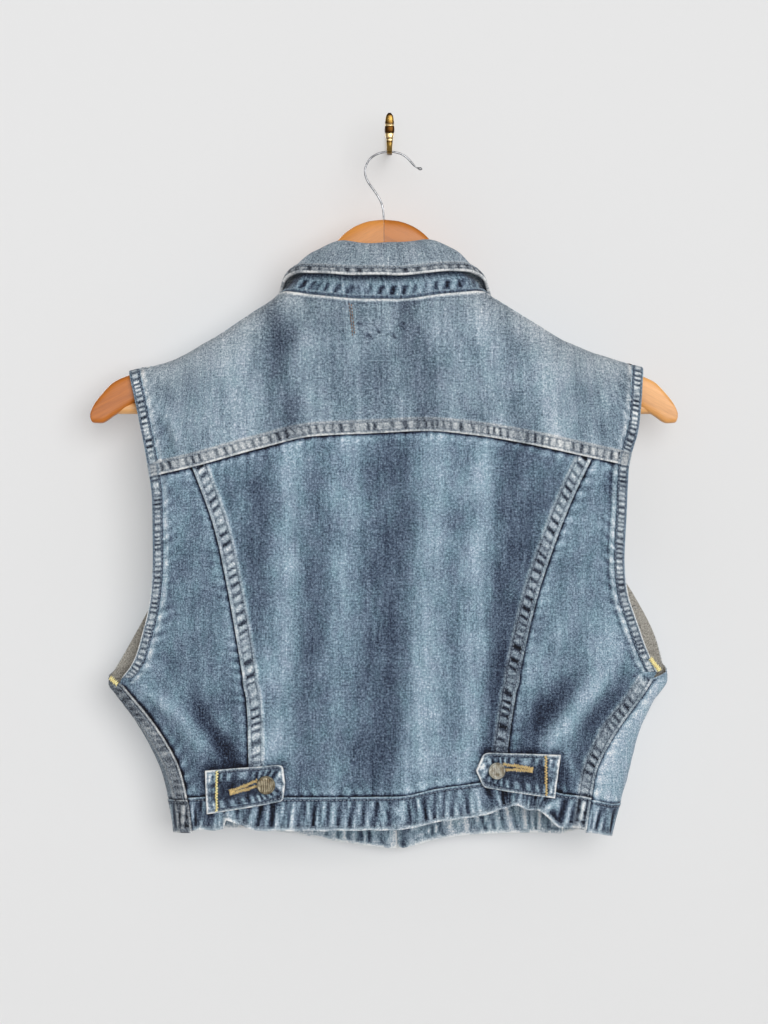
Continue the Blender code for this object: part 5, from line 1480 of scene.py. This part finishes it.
def tubular(name, rings, material, slot):
    """A closed mesh skinned over rings of points, with a flat cap at each end."""
    count = rings.shape[1]
    total = len(rings) * count
    faces = quads(len(rings), count, True).tolist()
    faces += [range(count), range(total - count, total)]
    mesh = smooth_mesh(name, rings, faces)
    bm = bmesh.new()
    bm.from_mesh(mesh)
    bmesh.ops.recalc_face_normals(bm, faces=bm.faces)
    bm.to_mesh(mesh)
    bm.free()
    mesh.set_sharp_from_angle(angle=SHARP_ANGLE)
    return place_object(name, mesh, material, slot)


def chain(rows, count):
    """Points spaced evenly along a smooth line through rows of x and z."""
    known = np.array(rows)
    arc = distances(known)
    return np.stack([through(arc, column)(np.linspace(0, arc[-1], count)) for column in known.T], axis=-1)


def arm(name, side, material, slot):
    """One arm of the hanger, cut at the middle, with rounded sections from its upper to its lower edge."""
    shoulder_x = np.linspace(*HANGER_SHOULDER, 8)
    under_cloth = np.minimum(shoulder(shoulder_x), shoulder(-shoulder_x)) - HANGER_UNDER_CLOTH
    upper = chain([*HANGER_TOP, *zip(shoulder_x, under_cloth), *HANGER_TIP], HANGER_STEPS)
    lower = chain(HANGER_LOW, HANGER_STEPS)
    middle = (upper + lower) / 2
    reach = (upper - lower) / 2
    tall = np.hypot(*reach.T)
    thick = HANGER_HALF * np.sqrt(1 - (1 - np.clip(tall / HANGER_ROUNDING, 0.05, 1)) ** 2)
    angle = around(HANGER_SPOKES)[None, :]
    out = squared(np.cos(angle), HANGER_SQUARENESS)
    x = side * (middle[:, :1] + reach[:, :1] * out + HALF_GAP)
    y = thick[:, None] * squared(np.sin(angle), HANGER_SQUARENESS)
    z = middle[:, 1:] + reach[:, 1:] * out
    rings = np.stack([x, y, z], axis=-1)[:-1]
    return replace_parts(tubular(name + "_wood", rings + PLACE, material, slot), name)


# The left arm darkens towards its tip and the right arm pales towards its tip: painted shade and painted light
wood_left = wood("wood_left", srgb(221, 144, 62), srgb(189, 108, 26), GRAIN_TURN)
arm("hanger_arm_left", -1, wood_left, "hanger_wood")
wood_right = wood("wood_right", srgb(199, 117, 22), srgb(241, 176, 104), -GRAIN_TURN)
arm("hanger_arm_right", 1, wood_right, "hanger_wood_deep")
bar_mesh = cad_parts["hanger_bar"].data
bar_mesh.materials.clear()
bar_mesh.materials.append(wood("bar_wood", srgb(238, 190, 132), srgb(236, 178, 114), 0.0))
bar_mesh.shade_smooth()


def new_path(name, dimensions, **settings):
    path = bpy.data.curves.new(name, "CURVE")
    path.dimensions = dimensions
    for key, value in settings.items():
        setattr(path, key, value)
    return path


def add_line(path, places, closed=False):
    spline = path.splines.new("POLY")
    spline.points.add(len(places) - 1)
    spline.use_cyclic_u = closed
    for point, place in zip(spline.points, places):
        point.co = (*place, 1.0)
    return spline


# Wire hook: a round bar along a path, with a small bead at its open end
wire_at, (wire_x, wire_z) = row_by_row(WIRE, WIRE_STEPS)
wire_line = np.stack([wire_x, np.zeros_like(wire_x), wire_z], axis=-1) + PLACE
for _ in range(WIRE_ROUNDS):
    wire_line[1:-1] = (wire_line[:-2] + 2 * wire_line[1:-1] + wire_line[2:]) / 4
to_end = len(WIRE) - 1 - wire_at
bead = bells(to_end, WIRE_BEAD)
wire_path = new_path("hanger_hook_wire", "3D", bevel_depth=1.0, bevel_resolution=6, use_fill_caps=True)
wire_spline = add_line(wire_path, wire_line)
wire_spline.use_smooth = True
wire_spline.points.foreach_set("radius", WIRE_RADIUS * 0.92 + bead)
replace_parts(place_object("hanger_hook_wire", wire_path, wire_look, "hook_wire"), "hanger_hook")

# Wall hook: a plate with a screw hole, and the bar that turns up under the wire
plate_path = new_path("wall_hook_plate", "2D", fill_mode="BOTH", extrude=PLATE_THICK / 2)
angle = around(PLATE_CORNERS)
circle = np.stack([np.cos(angle), np.sin(angle), np.zeros_like(angle)], axis=-1)
round_ends = PLATE_WIDTH / 2
end_at = np.where(circle[:, 1] >= 0, PLATE_HIGH - round_ends, PLATE_LOW + round_ends)
for radius, centre in ((round_ends, end_at), (SCREW_BORE, np.full(PLATE_CORNERS, SCREW_AT))):
    ring = circle * radius
    ring[:, 1] += centre
    add_line(plate_path, ring, True)
plate = place_object("wall_hook_plate", plate_path, brass_look, "hook_brass")
plate.location = (0.0, -PLATE_THICK / 2, 0.0)
plate.rotation_euler = (math.pi / 2, 0.0, 0.0)
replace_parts(plate, "wall_hook")

_, (bar_y, bar_z, bar_wide, bar_thick) = row_by_row(HOOK_BAR, BAR_STEPS)
on_prong = ease((-0.043 - bar_y) / 0.003)
swells = sum(swell * bell(bar_z, z, width) * on_prong for z, width, swell in HOOK_RINGS)
slope = np.stack([np.gradient(bar_y), np.gradient(bar_z)])
slope = slope / np.hypot(*slope)
angle = around(BAR_SPOKES)[None, :]
flat = squared(np.cos(angle), BAR_SQUARENESS) * (bar_wide + swells)[:, None] / 2
lift = squared(np.sin(angle), BAR_SQUARENESS) * (bar_thick + swells)[:, None] / 2
bar_rings = [flat, bar_y[:, None] - lift * slope[1][:, None], bar_z[:, None] + lift * slope[0][:, None]]
bar = tubular("wall_hook_bar", np.stack(bar_rings, axis=-1), brass_look, "hook_brass")
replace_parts(bar, "wall_hook")


def add_to_scene(name, data):
    thing = bpy.data.objects.new(name, data)
    collection.objects.link(thing)
    return thing


# Camera at the photograph's place
camera_data = bpy.data.cameras.new("camera")
camera_data.sensor_width = SENSOR
camera_data.lens = SENSOR * CAMERA_AWAY / (PICTURE[1] * PIXEL)
camera = add_to_scene("camera", camera_data)
camera.location = (PLACE[0], PLACE[1] + CAMERA_PLANE - CAMERA_AWAY, CAMERA_AIM_Z)
camera.rotation_euler = (math.pi / 2, 0.0, 0.0)
bpy.context.scene.camera = camera


def plane(name, corners, material):
    mesh = bpy.data.meshes.new(name)
    mesh.from_pydata(corners, [], [tuple(range(len(corners)))])
    mesh.materials.append(material)
    thing = add_to_scene(name, mesh)
    return thing


# Backdrop, which is clear from behind, and floor
wall_look = bpy.data.materials.new("backdrop")
wall_look.use_nodes = True
wall_tree = wall_look.node_tree
wall_tree.nodes.clear()
lit = node(wall_tree, "ShaderNodeBsdfDiffuse", {"Color": WALL_PALE}).outputs[0]
glow = node(wall_tree, "ShaderNodeEmission", {"Color": WALL_PALE, "Strength": 1.0}).outputs[0]
front_side = node(wall_tree, "ShaderNodeMixShader", {0: WALL_GLOW, 1: lit, 2: glow}).outputs[0]
clear = node(wall_tree, "ShaderNodeBsdfTransparent").outputs[0]
behind_it = node(wall_tree, "ShaderNodeNewGeometry").outputs["Backfacing"]
both = node(wall_tree, "ShaderNodeMixShader", {0: behind_it, 1: front_side, 2: clear}).outputs[0]
node(wall_tree, "ShaderNodeOutputMaterial", {"Surface": both})
ring_x, ring_up = (-1, 1, 1, -1), (0, 0, 1, 1)
wall_corners = [(WALL_HALF * x, WALL_Y, WALL_TOP if up_it else FLOOR_Z) for x, up_it in zip(ring_x, ring_up)]
wall = plane("backdrop", wall_corners, wall_look)
for ray in ("shadow", "diffuse", "glossy", "transmission"):
    setattr(wall, "visible_" + ray, False)
floor_look = surface_of("floor", 0.9, **{"Base Color": WALL_PALE})[0]
floor_corners = [(FLOOR_HALF * x, FLOOR_HALF * (2 * y - 1), FLOOR_Z) for x, y in zip(ring_x, ring_up)]
plane("floor", floor_corners, floor_look)

# Light
key = bpy.data.lights.new("key", "SUN")
key.energy = KEY_STRENGTH
key.angle = KEY_SPREAD
add_to_scene("key", key).rotation_euler = (-Vector(KEY_FROM)).to_track_quat("-Z", "Y").to_euler()
for light in LIGHTS:
    lamp = bpy.data.lights.new(light.name, "AREA")
    lamp.size = light.size
    lamp.energy = light.power
    thing = add_to_scene(light.name, lamp)
    thing.location = light.place
    thing.rotation_euler = (Vector(light.aim) - Vector(light.place)).to_track_quat("-Z", "Y").to_euler()
world = bpy.data.worlds.new("surround")
bpy.context.scene.world = world
world.use_nodes = True
world.node_tree.nodes["Background"].inputs["Color"].default_value = WALL_PALE
world.node_tree.nodes["Background"].inputs["Strength"].default_value = SURROUND
bpy.context.scene.view_settings.view_transform = "Standard"
